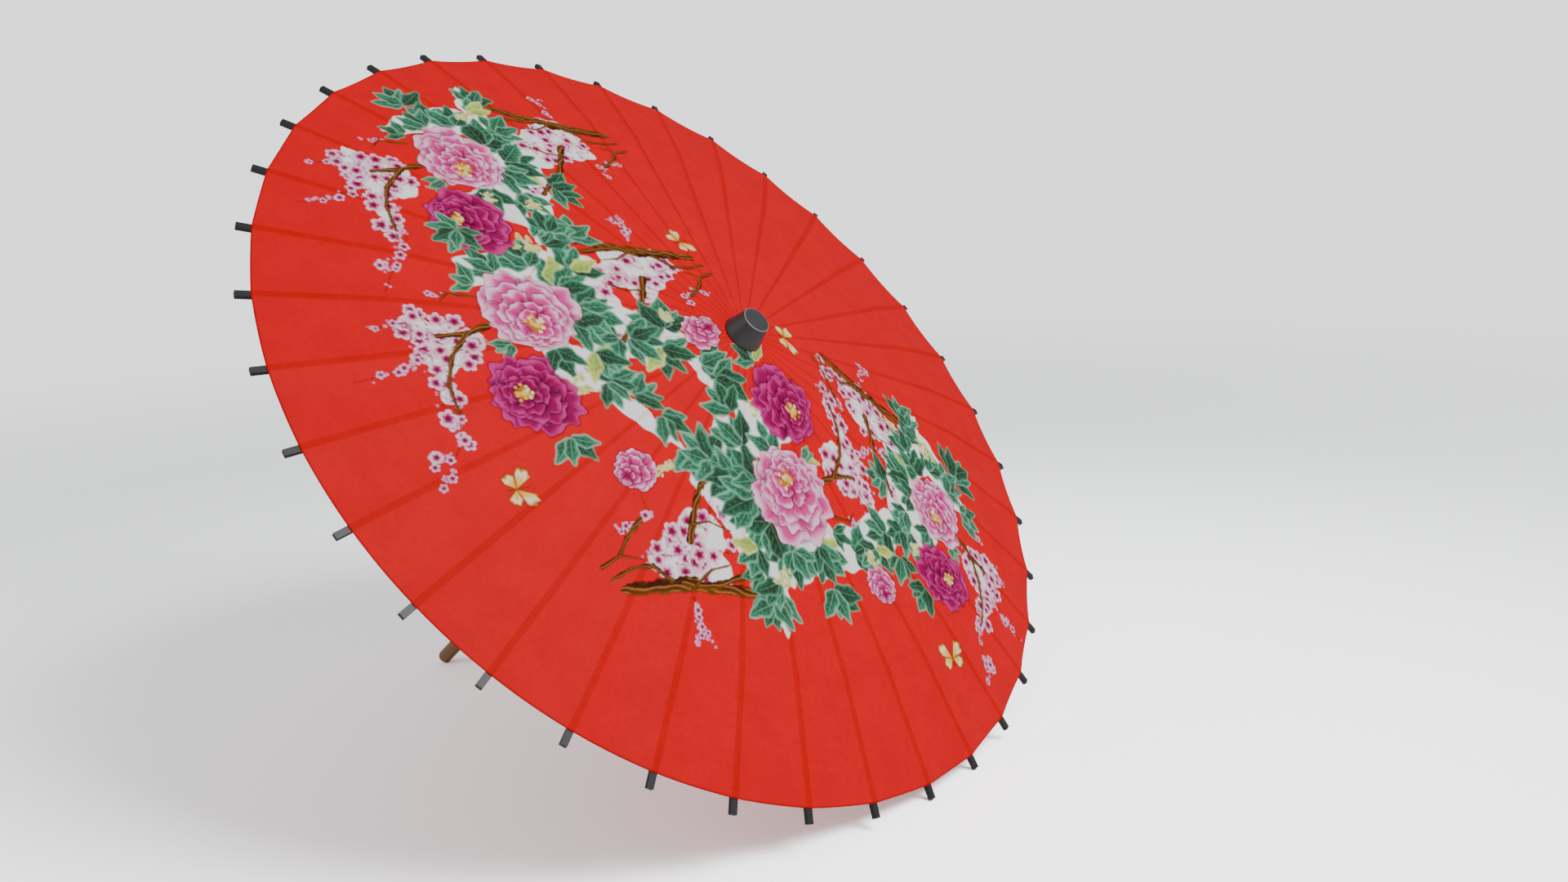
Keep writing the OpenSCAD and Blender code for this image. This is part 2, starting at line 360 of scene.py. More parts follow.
@dataclass(frozen=True)
class Placement:
    """Where a copy of the motif lies on the canopy."""

    x: float
    y: float
    turn: float = 0.0
    scale: float = 1.0
    mirrored: bool = False

    def spot(self, x: float, y: float) -> tuple[float, float]:
        """Takes a point of the motif to the canopy.

        Args:
            x: The point's x in the motif.
            y: The point's y in the motif.

        Returns:
            Its x and y on the canopy.
        """
        x = -x if self.mirrored else x
        c, s = math.cos(math.radians(self.turn)), math.sin(math.radians(self.turn))
        return self.x + self.scale * (x * c - y * s), self.y + self.scale * (x * s + y * c)

    def heading(self, degrees: float) -> float:
        """Takes a heading of the motif to the canopy, in degrees."""
        return (180 - degrees if self.mirrored else degrees) + self.turn


class FlowerPainter:
    """Paints peonies, leaves, plum branches and butterflies on a board."""

    def __init__(self, board: PaintBoard, seed: int = 11) -> None:
        """Takes the board to paint on.

        Args:
            board: The board.
            seed: The seed of every small difference.
        """
        self.board = board
        self.random = np.random.default_rng(seed)

    def jitter(self, size: float) -> float:
        """A small random change, up to size either way."""
        return float(self.random.uniform(-size, size))

    def phase(self) -> float:
        """A random place on a wave, in radians."""
        return float(self.random.uniform(0, 6.28))

    def white_patch(self, x: float, y: float, wide: float, high: float, turn: float = 0.0) -> None:
        """Lays a patch of white ground with an uneven edge.

        Args:
            x: The middle's x.
            y: The middle's y.
            wide: Half its width.
            high: Half its height.
            turn: Its turn, in degrees.
        """
        part, gx, gy = self.board.window(x, y, 1.3 * max(wide, high))
        c, s = math.cos(math.radians(turn)), math.sin(math.radians(turn))
        along, across = (gx * c + gy * s) / wide, (gy * c - gx * s) / high
        angle = np.arctan2(across, along)
        edge = 1.0
        for waves in (3, 5, 8, 13):
            edge = edge + 0.448 / waves * np.sin(waves * angle + self.phase())
        mask = smooth_step(0.0, 0.06, edge - np.hypot(along, across))
        self.board.lay(part, mask, WHITE)

    def petal(
        self, x: float, y: float, heading: float, length: float, spread: float, tones: PetalTones
    ) -> None:
        """Paints one petal that fans out from its root.

        Args:
            x: The root's x.
            y: The root's y.
            heading: The way it points, in degrees.
            length: From root to edge.
            spread: Half its angle, in degrees.
            tones: Its colours.
        """
        part, gx, gy = self.board.window(x, y, length * 1.12)
        turn, open_angle = math.radians(heading), math.radians(spread)
        angle = np.mod(np.arctan2(gy, gx) - turn + math.pi, math.tau) - math.pi
        reach = np.hypot(gx, gy)
        phase, waves = self.phase(), self.random.integers(2, 5)
        across = angle / open_angle
        rim = length * (
            1 - 0.20 * across**2 + 0.045 * np.sin(waves * across * 2.2 + phase)
            + 0.028 * np.sin(11 * across + 2 * phase)
        )
        inside = np.minimum(rim - reach, (open_angle - np.abs(angle)) * reach * 1.2)
        self.board.lay(part, 0.75 * smooth_step(-2.0, 0.8, inside), tones.shade)
        share = np.clip(reach / np.maximum(rim, 1e-3), 0, 1)
        fold = 0.0
        for _ in range(4):
            at, wide = self.random.uniform(-0.8, 0.8), self.random.uniform(0.05, 0.13)
            fold = fold + np.exp(-((across - at * (0.6 + 0.4 * share)) / wide) ** 2)
        fine = 0.5 + 0.5 * np.sin(across * 30 + phase)
        tone = share - (0.26 * np.clip(fold, 0, 1) + 0.08 * fine) * smooth_step(1.0, 0.55, share)
        tone = tone + 0.10 * np.sin(across * 5 + 2 * phase) * share
        to_middle = smooth_step(0.20, 0.66, tone)[..., None]
        to_edge = smooth_step(0.72, 1.0, tone)[..., None]
        colour = np.array(tones.root) * (1 - to_middle) + np.array(tones.middle) * to_middle
        colour = colour * (1 - to_edge) + np.array(tones.edge) * to_edge
        side = smooth_step(0.45, 1.0, across * self.random.choice((-1, 1)))[..., None] * 0.8
        colour = colour * (1 - side) + np.array(tones.root) * side
        lip = smooth_step(1.7, 0.5, rim - reach) * smooth_step(1.0, 0.6, np.abs(across))
        lip = (0.7 * lip)[..., None]
        colour = colour * (1 - lip) + np.array(tones.edge) * lip
        self.board.lay(part, smooth_step(0.0, 0.7, inside), colour)

    def peony(self, x: float, y: float, size: float, bloom: Bloom, heart: tuple) -> None:
        """Paints an open peony.

        Args:
            x: The middle's x.
            y: The middle's y.
            size: Its radius.
            bloom: Its kind.
            heart: Where its stamens lie from the middle.
        """
        tones = bloom.value
        # Petals, their share of the radius, half their angle, how far they lie towards the heart
        rings = (
            (7, 1.0, 34, 0.0), (6, 0.88, 34, 0.15), (7, 0.72, 32, 0.4), (6, 0.54, 34, 0.75),
            (5, 0.36, 40, 1.0),
        )
        for count, share, spread, shift in rings:
            start = self.random.uniform(0, 360)
            for k in self.random.permutation(count):
                heading = start + 360 / count * k + self.jitter(11)
                self.petal(
                    x + heart[0] * shift, y + heart[1] * shift, heading,
                    size * share * self.random.uniform(0.84, 1.08), spread + self.jitter(6), tones,
                )
        self.stamens(x + heart[0], y + heart[1], size * 0.19)

    def stamens(self, x: float, y: float, size: float) -> None:
        """Paints a tuft of gold stamens.

        Args:
            x: The middle's x.
            y: The middle's y.
            size: Its radius.
        """
        self.dot(x, y, size * 0.75, GOLD_DARK)
        for _ in range(26):
            angle, reach = self.random.uniform(0, math.tau), size * self.random.uniform(0.25, 1.1)
            tone = (GOLD, CREAM, GOLD, GOLD_DARK)[int(self.random.integers(4))]
            self.dot(x + reach * math.cos(angle), y + reach * math.sin(angle), size * 0.2, tone)
        self.dot(x, y, size * 0.3, linear(214, 214, 120))

    def dot(self, x: float, y: float, radius: float, tone: tuple) -> None:
        """Paints a round dot.

        Args:
            x: The middle's x.
            y: The middle's y.
            radius: Its radius.
            tone: Its colour.
        """
        part, gx, gy = self.board.window(x, y, radius + 1)
        self.board.lay(part, smooth_step(-0.35, 0.35, radius - np.hypot(gx, gy)), tone)

    def bud(self, x: float, y: float, size: float, heading: float) -> None:
        """Paints a half open peony, with its petals all one way.

        Args:
            x: The middle's x.
            y: The middle's y.
            size: Its radius.
            heading: The way it opens, in degrees.
        """
        turn, tones = math.radians(heading), Bloom.PINK.value
        lean = (0.5 * size * math.cos(turn), 0.5 * size * math.sin(turn))
        for count, share, shift in ((7, 1.0, 0.0), (6, 0.8, 0.4), (5, 0.55, 0.8), (4, 0.36, 1.0)):
            for k in range(count):
                way = heading + 360 / count * (k + 0.5) + self.jitter(9)
                length = size * share * self.random.uniform(0.9, 1.05)
                self.petal(x + lean[0] * shift, y + lean[1] * shift, way, length, 36, tones)

    def leaf(self, x: float, y: float, heading: float, length: float, foliage: Foliage) -> None:
        """Paints one pointed leaf with its veins.

        Args:
            x: The stalk's x.
            y: The stalk's y.
            heading: The way it points, in degrees.
            length: Its length.
            foliage: Its kind.
        """
        part, gx, gy = self.board.window(x, y, length + 2)
        turn = math.radians(heading)
        along = gx * math.cos(turn) + gy * math.sin(turn)
        bow = self.jitter(0.16)
        across = gy * math.cos(turn) - gx * math.sin(turn) - bow * along * (1 - along / length)
        share = np.clip(along / length, 0, 1)
        wide = length * self.random.uniform(0.21, 0.27)
        notch = 1 + 0.16 * np.sin(share * self.random.uniform(10, 14) + self.random.uniform(0, 6))
        half = wide * np.sin(math.pi * share**0.72) ** 0.85 * notch
        inside = np.where((along > 0) & (along < length), half - np.abs(across), -9.0)
        tones = foliage.value
        self.board.lay(part, 0.6 * smooth_step(-1.2, 0.2, inside), tones.light)
        ratio = np.clip(across / np.maximum(half, 0.3), -1, 1)
        lit = 0.15 + 0.45 * smooth_step(-0.2, 1.0, ratio * self.random.choice((-1, 1))) + 0.5 * share
        lit = lit + 0.12 * np.sin(along * 0.9 + 6 * np.abs(ratio))
        deep, body, light = (np.array(tone) for tone in (tones.deep, tones.body, tones.light))
        colour = deep + (body - deep) * np.clip(lit * 1.25, 0, 1)[..., None]
        colour = colour + (light - colour) * (smooth_step(0.75, 1.3, lit) * 0.6)[..., None]
        vein = np.mod((along - 0.9 * np.abs(across)) / (length * 0.17), 1)
        lines = 0.2 * smooth_step(0.22, 0.02, np.abs(vein - 0.5)) * smooth_step(0.1, 0.4, np.abs(ratio))
        spine = 0.5 * smooth_step(0.6, 0.2, np.abs(across)) * smooth_step(1, 0.7, share)
        lines = np.maximum(lines, spine)
        lines = np.maximum(lines, smooth_step(2.8, 0.1, inside) * 0.62)
        colour = colour + (light - colour) * (lines * 0.85)[..., None]
        self.board.lay(part, smooth_step(0.0, 0.5, inside), colour)

    def rosette(
        self, x: float, y: float, first: float, last: float, count: int, length: float,
        foliage: Foliage = Foliage.TEAL,
    ) -> None:
        """Paints a fan of leaves from one point.

        Args:
            x: The point's x.
            y: The point's y.
            first: The heading of the first leaf, in degrees.
            last: The heading of the last leaf.
            count: How many leaves.
            length: Their length.
            foliage: Their kind.
        """
        headings = np.linspace(first, last, count) if count > 1 else [(first + last) / 2]
        for heading in self.random.permutation(headings):
            kind = foliage
            if foliage is Foliage.TEAL and self.random.random() < 0.45:
                kind = Foliage.DARK if self.random.random() < 0.9 else Foliage.LIME
            self.leaf(x, y, heading + self.jitter(5), length * self.random.uniform(0.82, 1.1), kind)

    def branch(self, points: list, start: float, end: float) -> None:
        """Paints a knotty branch along a line.

        Args:
            points: The line's points.
            start: Its half width at the first point.
            end: Its half width at the last.
        """
        spans = list(zip(points[:-1], points[1:]))
        for k, ((ax, ay), (bx, by)) in enumerate(spans):
            first = start + (end - start) * k / len(spans)
            last = start + (end - start) * (k + 1) / len(spans)
            length = math.hypot(bx - ax, by - ay)
            part, gx, gy = self.board.window((ax + bx) / 2, (ay + by) / 2, length / 2 + 2 * start + 2)
            ux, uy = (bx - ax) / length, (by - ay) / length
            px, py = gx + (bx - ax) / 2, gy + (by - ay) / 2
            along = np.clip(px * ux + py * uy, 0, length)
            side = py * ux - px * uy
            off = np.hypot(px - along * ux, py - along * uy)
            phase = self.phase()
            half = first + (last - first) * along / length
            half = half * (1 + 0.14 * np.sin(along * 0.3 + phase) + 0.08 * np.sin(along * 0.95 + 2 * phase))
            rel = np.where(off > 0, side / np.maximum(half, 0.2), 0)
            grain = 0.5 + 0.5 * np.sin(rel * 6 + along * 0.12 + 2 * np.sin(along * 0.2 + phase))
            lit = np.clip(0.5 - 0.55 * rel + 0.5 * (grain - 0.5), 0, 1)[..., None]
            colour = np.array(BARK_DARK) * (1 - lit) + np.array(BARK) * lit
            glow = (smooth_step(0.72, 0.95, grain) * (np.abs(rel) < 0.7) * 0.6)[..., None]
            colour = colour * (1 - glow) + np.array(BARK_LIGHT) * glow
            self.board.lay(part, smooth_step(-0.1, 0.5, half - off), colour)

    def blossom(self, x: float, y: float, size: float) -> None:
        """Paints a five petalled plum blossom.

        Args:
            x: The middle's x.
            y: The middle's y.
            size: Its radius.
        """
        part, gx, gy = self.board.window(x, y, size * 1.2)
        phase = self.phase()
        angle, reach = np.arctan2(gy, gx), np.hypot(gx, gy)
        rim = size * (0.62 + 0.38 * np.abs(np.cos(2.5 * angle + phase)) ** 0.7)
        share = np.clip(reach / rim, 0, 1)
        self.board.lay(part, 0.5 * smooth_step(-0.8, 0.3, rim - reach), linear(204, 96, 158))
        pale, pink = np.array(linear(253, 226, 242)), np.array(linear(196, 44, 128))
        tint = (smooth_step(0.9, 0.35, share) * 0.95 + smooth_step(0.80, 1.0, share) * 0.3)[..., None]
        self.board.lay(part, smooth_step(0, 0.5, rim - reach), pale * (1 - tint) + pink * tint)
        self.dot(x, y, size * 0.3, BERRY)
        ring = 0.42 * size
        for k in range(5):
            turn = phase + k * math.tau / 5
            self.dot(x + ring * math.cos(turn), y + ring * math.sin(turn), size * 0.075, BERRY)

    def scatter(self, x: float, y: float, wide: float, high: float, count: int, turn: float = 0.0) -> None:
        """Scatters blossoms, small buds and twigs over an oval.

        Args:
            x: The middle's x.
            y: The middle's y.
            wide: Half the oval's width.
            high: Half its height.
            count: How many blossoms.
            turn: The oval's turn, in degrees.
        """
        c, s = math.cos(math.radians(turn)), math.sin(math.radians(turn))
        for k in range(2 * count):
            angle, reach = self.random.uniform(0, math.tau), math.sqrt(self.random.uniform(0, 1))
            px, py = wide * reach * math.cos(angle), high * reach * math.sin(angle)
            at = (x + px * c - py * s, y + px * s + py * c)
            if k % 2:
                lean = self.random.uniform(0, math.tau)
                tip = (at[0] + 9 * math.cos(lean), at[1] + 9 * math.sin(lean))
                self.branch([at, tip], 0.7, 0.35)
                self.dot(*tip, self.random.uniform(1.0, 1.9), linear(222, 120, 172))
            else:
                self.blossom(*at, self.random.uniform(6.0, 9.2))

    def twig(self, points: list, blossoms: int, size: float = 5.0) -> None:
        """Paints a thin twig with blossoms and buds along it.

        Args:
            points: The twig's points.
            blossoms: How many blossoms it bears.
            size: Their radius.
        """
        self.branch(points, 0.9, 0.45)
        line = np.array(points, float)
        for k in range(3 * blossoms):
            share = self.random.uniform(0.05, 1.0) * (len(line) - 1)
            low = min(int(share), len(line) - 2)
            at = line[low] + (line[low + 1] - line[low]) * (share - low)
            at = at + self.random.uniform(-1, 1, 2) * size * 0.8
            if k % 3:
                self.dot(*at, self.random.uniform(1.0, 2.0), linear(234, 150, 196))
            else:
                self.blossom(*at, size * self.random.uniform(0.7, 1.1))

    def tuft(self, x: float, y: float, size: float) -> None:
        """Paints a tuft of small yellow green leaves.

        Args:
            x: The middle's x.
            y: The middle's y.
            size: Its radius.
        """
        for _ in range(13):
            angle, reach = self.random.uniform(0, 360), size * self.random.uniform(0, 0.7)
            at = (x + reach * math.cos(angle), y + reach * math.sin(angle))
            self.leaf(*at, angle, size * self.random.uniform(0.5, 0.8), Foliage.LIME)
        for _ in range(8):
            self.dot(x + self.jitter(size * 0.6), y + self.jitter(size * 0.6), 1.0, CREAM)

    def butterfly(self, x: float, y: float, turn: float, size: float) -> None:
        """Paints a cream butterfly seen from above.

        Args:
            x: The body's x.
            y: The body's y.
            turn: The way it flies, in degrees.
            size: The length of a front wing.
        """
        tones = PetalTones(BARK, GOLD, CREAM, GOLD_DARK)
        wings = ((52, 1.0, 24), (-52, 1.0, 24), (112, 0.72, 30), (-112, 0.72, 30))
        for heading, share, spread in wings:
            self.petal(x, y, turn + heading, size * share, spread, tones)
        ahead = math.radians(turn)
        tip = (x + 0.4 * size * math.cos(ahead), y + 0.4 * size * math.sin(ahead))
        tail = (x - 0.35 * size * math.cos(ahead), y - 0.35 * size * math.sin(ahead))
        self.branch([tail, tip], 0.9, 0.6)
        reach = 0.35 * size
        for lean in (-0.35, 0.35):
            way = ahead + lean
            feeler = (tip[0] + reach * math.cos(way), tip[1] + reach * math.sin(way))
            self.branch([tip, feeler], 0.4, 0.3)


class CanopyPainting:
    """The garland of the canopy: one motif laid four times, with links between the copies."""

    COPIES = (
        Placement(-262, -120),
        Placement(-83, -177),
        Placement(146, -39, turn=180),
        Placement(203, 162, turn=110, scale=0.88, mirrored=True),
    )
    # Where white shows behind the work: x, y, half width, half height, turn
    WHITES = (
        (-12, 128, 34, 44, 8), (-8, 60, 58, 36, 0), (-52, 10, 22, 52, 0), (50, 40, 44, 26, -35),
        (8, -84, 28, 30, 10), (60, -2, 32, 30, 0), (44, -108, 20, 8, -12), (-24, -96, 14, 12, 0),
        (-78, 70, 26, 12, -20),
    )
    # Fans of leaves: x, y, first and last heading, count, length
    FANS = (
        (-14, 40, 50, 175, 6, 40), (10, 44, 20, 120, 5, 38), (-30, 66, 60, 170, 4, 32),
        (22, 30, -5, 80, 4, 34), (-44, 30, 130, 235, 5, 32), (-48, -2, 150, 260, 4, 30),
        (-42, -28, 180, 275, 3, 24), (52, 68, -10, 120, 5, 32), (-76, 78, 95, 200, 4, 28),
        (-62, 62, 90, 150, 3, 26), (54, 28, -30, 50, 4, 32), (84, 22, -40, 60, 4, 30),
        (40, -2, -40, 40, 3, 30), (24, -34, -110, -50, 3, 20),
    )
    # Fans between the copies, the same way but on the canopy itself
    LINKS = (
        (-345, -118, 120, 250, 5, 30), (-320, -112, 90, 200, 4, 28), (-178, -178, -160, 20, 6, 30),
        (-150, -84, 60, 190, 4, 30), (-158, -100, 10, 120, 4, 28), (-140, -150, 100, 260, 5, 30),
        (-30, -72, 80, 260, 6, 34), (-12, -88, -60, 90, 5, 32), (-34, -120, 200, 330, 4, 30),
        (14, -62, 30, 120, 4, 30), (30, -56, -10, 110, 4, 34), (20, -140, 40, 160, 5, 30),
        (44, -128, -30, 70, 4, 30), (0, -150, 90, 220, 4, 28), (34, -215, -60, 60, 4, 28),
        (88, -106, 120, 250, 4, 30), (80, -120, -60, 60, 4, 30), (112, -92, 150, 290, 5, 32),
        (150, -82, 220, 340, 6, 36), (184, -70, -90, 20, 5, 34), (200, -40, -60, 60, 5, 34),
        (232, -44, -50, 60, 5, 32), (214, -108, -120, 20, 5, 32), (196, -112, -140, -60, 3, 26),
        (26, -6, 120, 260, 4, 26), (212, 4, 20, 130, 4, 30), (206, 60, 200, 330, 5, 32),
        (214, 96, 180, 340, 6, 32), (216, 34, -120, 60, 5, 28), (264, 76, -110, -20, 4, 28),
        (176, 232, 40, 160, 6, 38), (180, 204, 20, 170, 5, 34), (104, 196, 100, 200, 3, 30),
        (126, 184, 60, 150, 3, 28), (218, 204, 10, 90, 3, 30), (156, 138, 190, 290, 4, 30),
        (232, 62, -80, 40, 4, 26),
    )
    # White behind those fans: x, y, half width, half height, turn
    LINK_WHITES = (
        (30, -58, 30, 10, 25), (40, -144, 36, 9, 25), (180, -84, 40, 26, 0), (206, 50, 20, 52, 8),
        (-28, -92, 30, 30, 0), (104, -98, 26, 34, 0), (150, 196, 40, 26, 20), (208, -10, 20, 40, 0),
    )
    # Yellow green sprigs: x, y, radius
    TUFTS = (
        (145, 205, 13), (112, 167, 9), (-320, -72, 12), (-150, -130, 13), (-195, -92, 9),
        (-5, -184, 14), (67, -30, 11), (207, -92, 11), (230, 92, 9), (222, 22, 11), (-40, -62, 9),
        (86, -152, 10), (-212, -128, 9),
    )
    # Peony buds: x, y, radius, heading
    BUDS = ((-15, -41, 20, 100), (78, -178, 20, -80), (246, 18, 18, -10))
    # Butterflies: x, y, heading, wing length
    BUTTERFLIES = ((7, 64, 60, 20), (-121, 33, 100, 19), (57, -281, 80, 20), (330, 70, 170, 20))
    # The fan laid last, over the plum peony of the first copy
    LAST_FAN = (-182, -182, -170, 60, 6, 26)
    # Peonies: x, y, radius, kind, where the heart lies from the middle
    PEONIES = ((74, -44, 40, Bloom.PLUM, (-6, -8)), (0, 0, 45, Bloom.PINK, (13, -3)))
    # Branches: points, half width at the first and at the last
    BRANCHES = (
        (((-16, 204), (-19, 194), (-25, 172), (-34, 142)), 4.4, 6.6),
        (((-20, 192), (-28, 168), (-36, 144), (-50, 114), (-66, 84)), 4.6, 5.0),
        (((-31, 150), (-42, 128), (-46, 96), (-52, 76)), 3.6, 2.6),
        (((-36, 142), (-30, 120), (-33, 100)), 1.8, 0.9),
        (((-5, 210), (-3, 190), (-8, 170), (-24, 160)), 1.6, 2.6),
        (((7, 212), (10, 192), (22, 176), (30, 158)), 1.8, 2.2),
        (((10, 192), (0, 176)), 1.4, 0.8),
        (((-2, 126), (14, 112), (34, 92), (46, 70), (58, 52)), 3.8, 2.6),
        (((10, 118), (6, 100), (-8, 84)), 1.6, 1.0),
        (((0, -40), (2, -64), (-4, -88)), 3.8, 2.4),
        (((2, -64), (18, -88), (40, -104), (66, -112)), 2.8, 1.6),
        (((-30, -36), (-40, -56), (-34, -66)), 1.8, 1.0),
    )
    # Twigs: points, blossoms, their radius
    TWIGS = (
        (((22, 170), (30, 150), (48, 146)), 3, 4.5),
        (((-44, 150), (-64, 158), (-84, 152)), 5, 4.5),
        (((-70, 156), (-78, 168)), 2, 3.5),
        (((26, 168), (30, 186)), 2, 4.0),
        (((60, -108), (88, -122), (106, -142), (122, -158)), 6, 5.0),
        (((94, -138), (98, -150)), 3, 6.0),
        (((14, -112), (16, -136), (12, -168)), 6, 4.8),
        (((-24, -106), (-28, -130)), 2, 4.0),
        (((46, 60), (56, 44)), 3, 5.0),
        (((-38, -52), (-44, -70)), 2, 4.0),
    )

    def __init__(self) -> None:
        """Paints the whole board."""
        self.board = PaintBoard()
        self.painter = FlowerPainter(self.board)
        for patch in self.LINK_WHITES:
            self.painter.white_patch(*patch)
        for copy in self.COPIES:
            self.ground(copy)
        for fan in self.LINKS:
            self.painter.rosette(*fan)
        for copy in self.COPIES:
            self.garland(copy)
        for bud in self.BUDS:
            self.painter.bud(*bud)
        for tuft in self.TUFTS:
            self.painter.tuft(*tuft)
        for copy in self.COPIES:
            self.flowers(copy)
        self.painter.rosette(*self.LAST_FAN)
        for butterfly in self.BUTTERFLIES:
            self.painter.butterfly(*butterfly)

    def ground(self, copy: Placement) -> None:
        """Lays the white ground, the blossoms and the branches of one copy.

        Args:
            copy: Where the copy lies.
        """
        paint, spot, size = self.painter, copy.spot, copy.scale
        for x, y, wide, high, turn in self.WHITES:
            paint.white_patch(*spot(x, y), 0.9 * wide * size, 0.9 * high * size, copy.heading(turn))
        self.plum(copy)
        for points, start, end in self.BRANCHES:
            paint.branch([spot(*point) for point in points], start * size, end * size)

    def plum(self, copy: Placement) -> None:
        """Paints the plum blossoms and twigs of one copy.

        Args:
            copy: Where the copy lies.
        """
        paint, spot = self.painter, copy.spot
        paint.scatter(*spot(-8, 124), 27, 48, 26, copy.heading(8))
        paint.scatter(*spot(6, -84), 26, 30, 22, copy.heading(0))
        paint.scatter(*spot(58, -112), 36, 8, 9, copy.heading(-12))
        paint.scatter(*spot(-22, -98), 14, 14, 7)
        for points, count, size in self.TWIGS:
            paint.twig([spot(*point) for point in points], count, size * copy.scale)

    def garland(self, copy: Placement) -> None:
        """Paints the leaves of one copy.

        Args:
            copy: Where the copy lies.
        """
        for x, y, first, last, count, length in self.FANS:
            ends = sorted((copy.heading(first), copy.heading(last)))
            self.painter.rosette(*copy.spot(x, y), *ends, count, length * copy.scale)

    def flowers(self, copy: Placement) -> None:
        """Paints the two peonies of one copy.

        Args:
            copy: Where the copy lies.
        """
        for x, y, radius, bloom, heart in self.PEONIES:
            middle, tip = copy.spot(x, y), copy.spot(x + heart[0], y + heart[1])
            lean = (tip[0] - middle[0], tip[1] - middle[1])
            self.painter.peony(*middle, radius * copy.scale, bloom, lean)


# ---------------------------------------------------------------- finishes


class Graph:
    """Places and links the nodes of one tree."""

    def __init__(self, tree: bpy.types.NodeTree) -> None:
        """Takes a tree and empties it."""
        self.tree = tree
        tree.nodes.clear()

    def add(self, kind: str, inputs: dict | None = None, **settings) -> bpy.types.Node:
        """Adds a node.

        Args:
            kind: The node's type, without its leading word.
            inputs: Values or sockets for its inputs, by name or number.
            **settings: Values for its properties.

        Returns:
            The node.
        """
        node = self.tree.nodes.new(kind if kind.startswith("NodeGroup") else f"ShaderNode{kind}")
        for name, value in settings.items():
            setattr(node, name, value)
        for key, value in (inputs or {}).items():
            socket = node.inputs[key]
            if isinstance(value, bpy.types.NodeSocket):
                self.tree.links.new(value, socket)
            elif isinstance(value, tuple) and len(value) == 3 and socket.type == "RGBA":
                socket.default_value = (*value, 1.0)
            else:
                socket.default_value = value
        return node

    def math(self, operation: str, first: object, second: object = 0.0) -> bpy.types.NodeSocket:
        """Adds a Math node.

        Args:
            operation: What it does.
            first: Its first value or socket.
            second: Its second value or socket.

        Returns:
            Its output.
        """
        return self.add("Math", {0: first, 1: second}, operation=operation).outputs[0]

    def blend(
        self, share: object, first: object, second: object, kind: str = "MIX"
    ) -> bpy.types.NodeSocket:
        """Adds a colour mix.

        Args:
            share: How much of the second colour shows.
            first: The first colour or socket.
            second: The second colour or socket.
            kind: How they mix.

        Returns:
            The mixed colour.
        """
        node = self.add("Mix", data_type="RGBA", blend_type=kind)
        for index, value in ((0, share), (6, first), (7, second)):
            socket = node.inputs[index]
            if isinstance(value, bpy.types.NodeSocket):
                self.tree.links.new(value, socket)
            else:
                socket.default_value = (*value, 1.0) if isinstance(value, tuple) else value
        return node.outputs[2]

    def ramp(self, value: bpy.types.NodeSocket, low: float, high: float) -> bpy.types.NodeSocket:
        """Rises smoothly from 0 at low to 1 at high, or falls if low is over high."""
        ends = {"From Min": low, "From Max": high, 0: value}
        return self.add("MapRange", ends, interpolation_type="SMOOTHSTEP").outputs[0]


class SharedEffects:
    """The node groups that several finishes use."""

    def __init__(self) -> None:
        """Builds each group once."""
        self.mottle = self.build_mottle()
        self.grain = self.build_grain()

    def start(
        self, name: str, takes: tuple, gives: tuple
    ) -> tuple[bpy.types.NodeTree, Graph, dict, bpy.types.Node]:
        """Starts a node group with named sockets.

        Args:
            name: The group's name.
            takes: The name and kind of each input.
            gives: The name and kind of each output.

        Returns:
            The group, its graph, its inputs by name, and its output node.
        """
        tree = bpy.data.node_groups.new(name, "ShaderNodeTree")
        graph = Graph(tree)
        for names, side in ((takes, "INPUT"), (gives, "OUTPUT")):
            for label, kind in names:
                tree.interface.new_socket(label, in_out=side, socket_type=f"NodeSocket{kind}")
        source, sink = graph.add("NodeGroupInput"), graph.add("NodeGroupOutput")
        return tree, graph, {label: source.outputs[label] for label, _ in takes}, sink

    def build_mottle(self) -> bpy.types.NodeTree:
        """Uneven clouds with finer specks in them, as on paper and old lacquer.

        Returns:
            The node group.
        """
        takes = (("Vector", "Vector"), ("Cloud Scale", "Float"), ("Speck Scale", "Float"))
        gives = (("Clouds", "Float"), ("Specks", "Float"))
        tree, graph, given, sink = self.start("mottle", takes, gives)
        for label, scale, detail in (("Clouds", "Cloud Scale", 4.0), ("Specks", "Speck Scale", 3.0)):
            inputs = {"Vector": given["Vector"], "Scale": given[scale], "Detail": detail, "Roughness": 0.6}
            noise = graph.add("TexNoise", inputs)
            graph.tree.links.new(graph.ramp(noise.outputs["Fac"], 0.32, 0.68), sink.inputs[label])
        return tree

    def build_grain(self) -> bpy.types.NodeTree:
        """Long fibres along the vector's Z, as in wood and bamboo.

        Returns:
            The node group.
        """
        takes = (("Vector", "Vector"), ("Scale", "Float"))
        gives = (("Streaks", "Float"), ("Pores", "Float"))
        tree, graph, given, sink = self.start("grain", takes, gives)
        for label, squeeze, scale, detail in (("Streaks", 0.035, 1.0, 5.0), ("Pores", 0.02, 3.6, 2.0)):
            thin = graph.add("Mapping", {"Vector": given["Vector"], "Scale": (1.0, 1.0, squeeze)})
            inputs = {
                "Vector": thin.outputs[0], "Scale": graph.math("MULTIPLY", given["Scale"], scale),
                "Detail": detail, "Roughness": 0.62, "Distortion": 0.25,
            }
            noise = graph.add("TexNoise", inputs)
            graph.tree.links.new(graph.ramp(noise.outputs["Fac"], 0.3, 0.7), sink.inputs[label])
        return tree


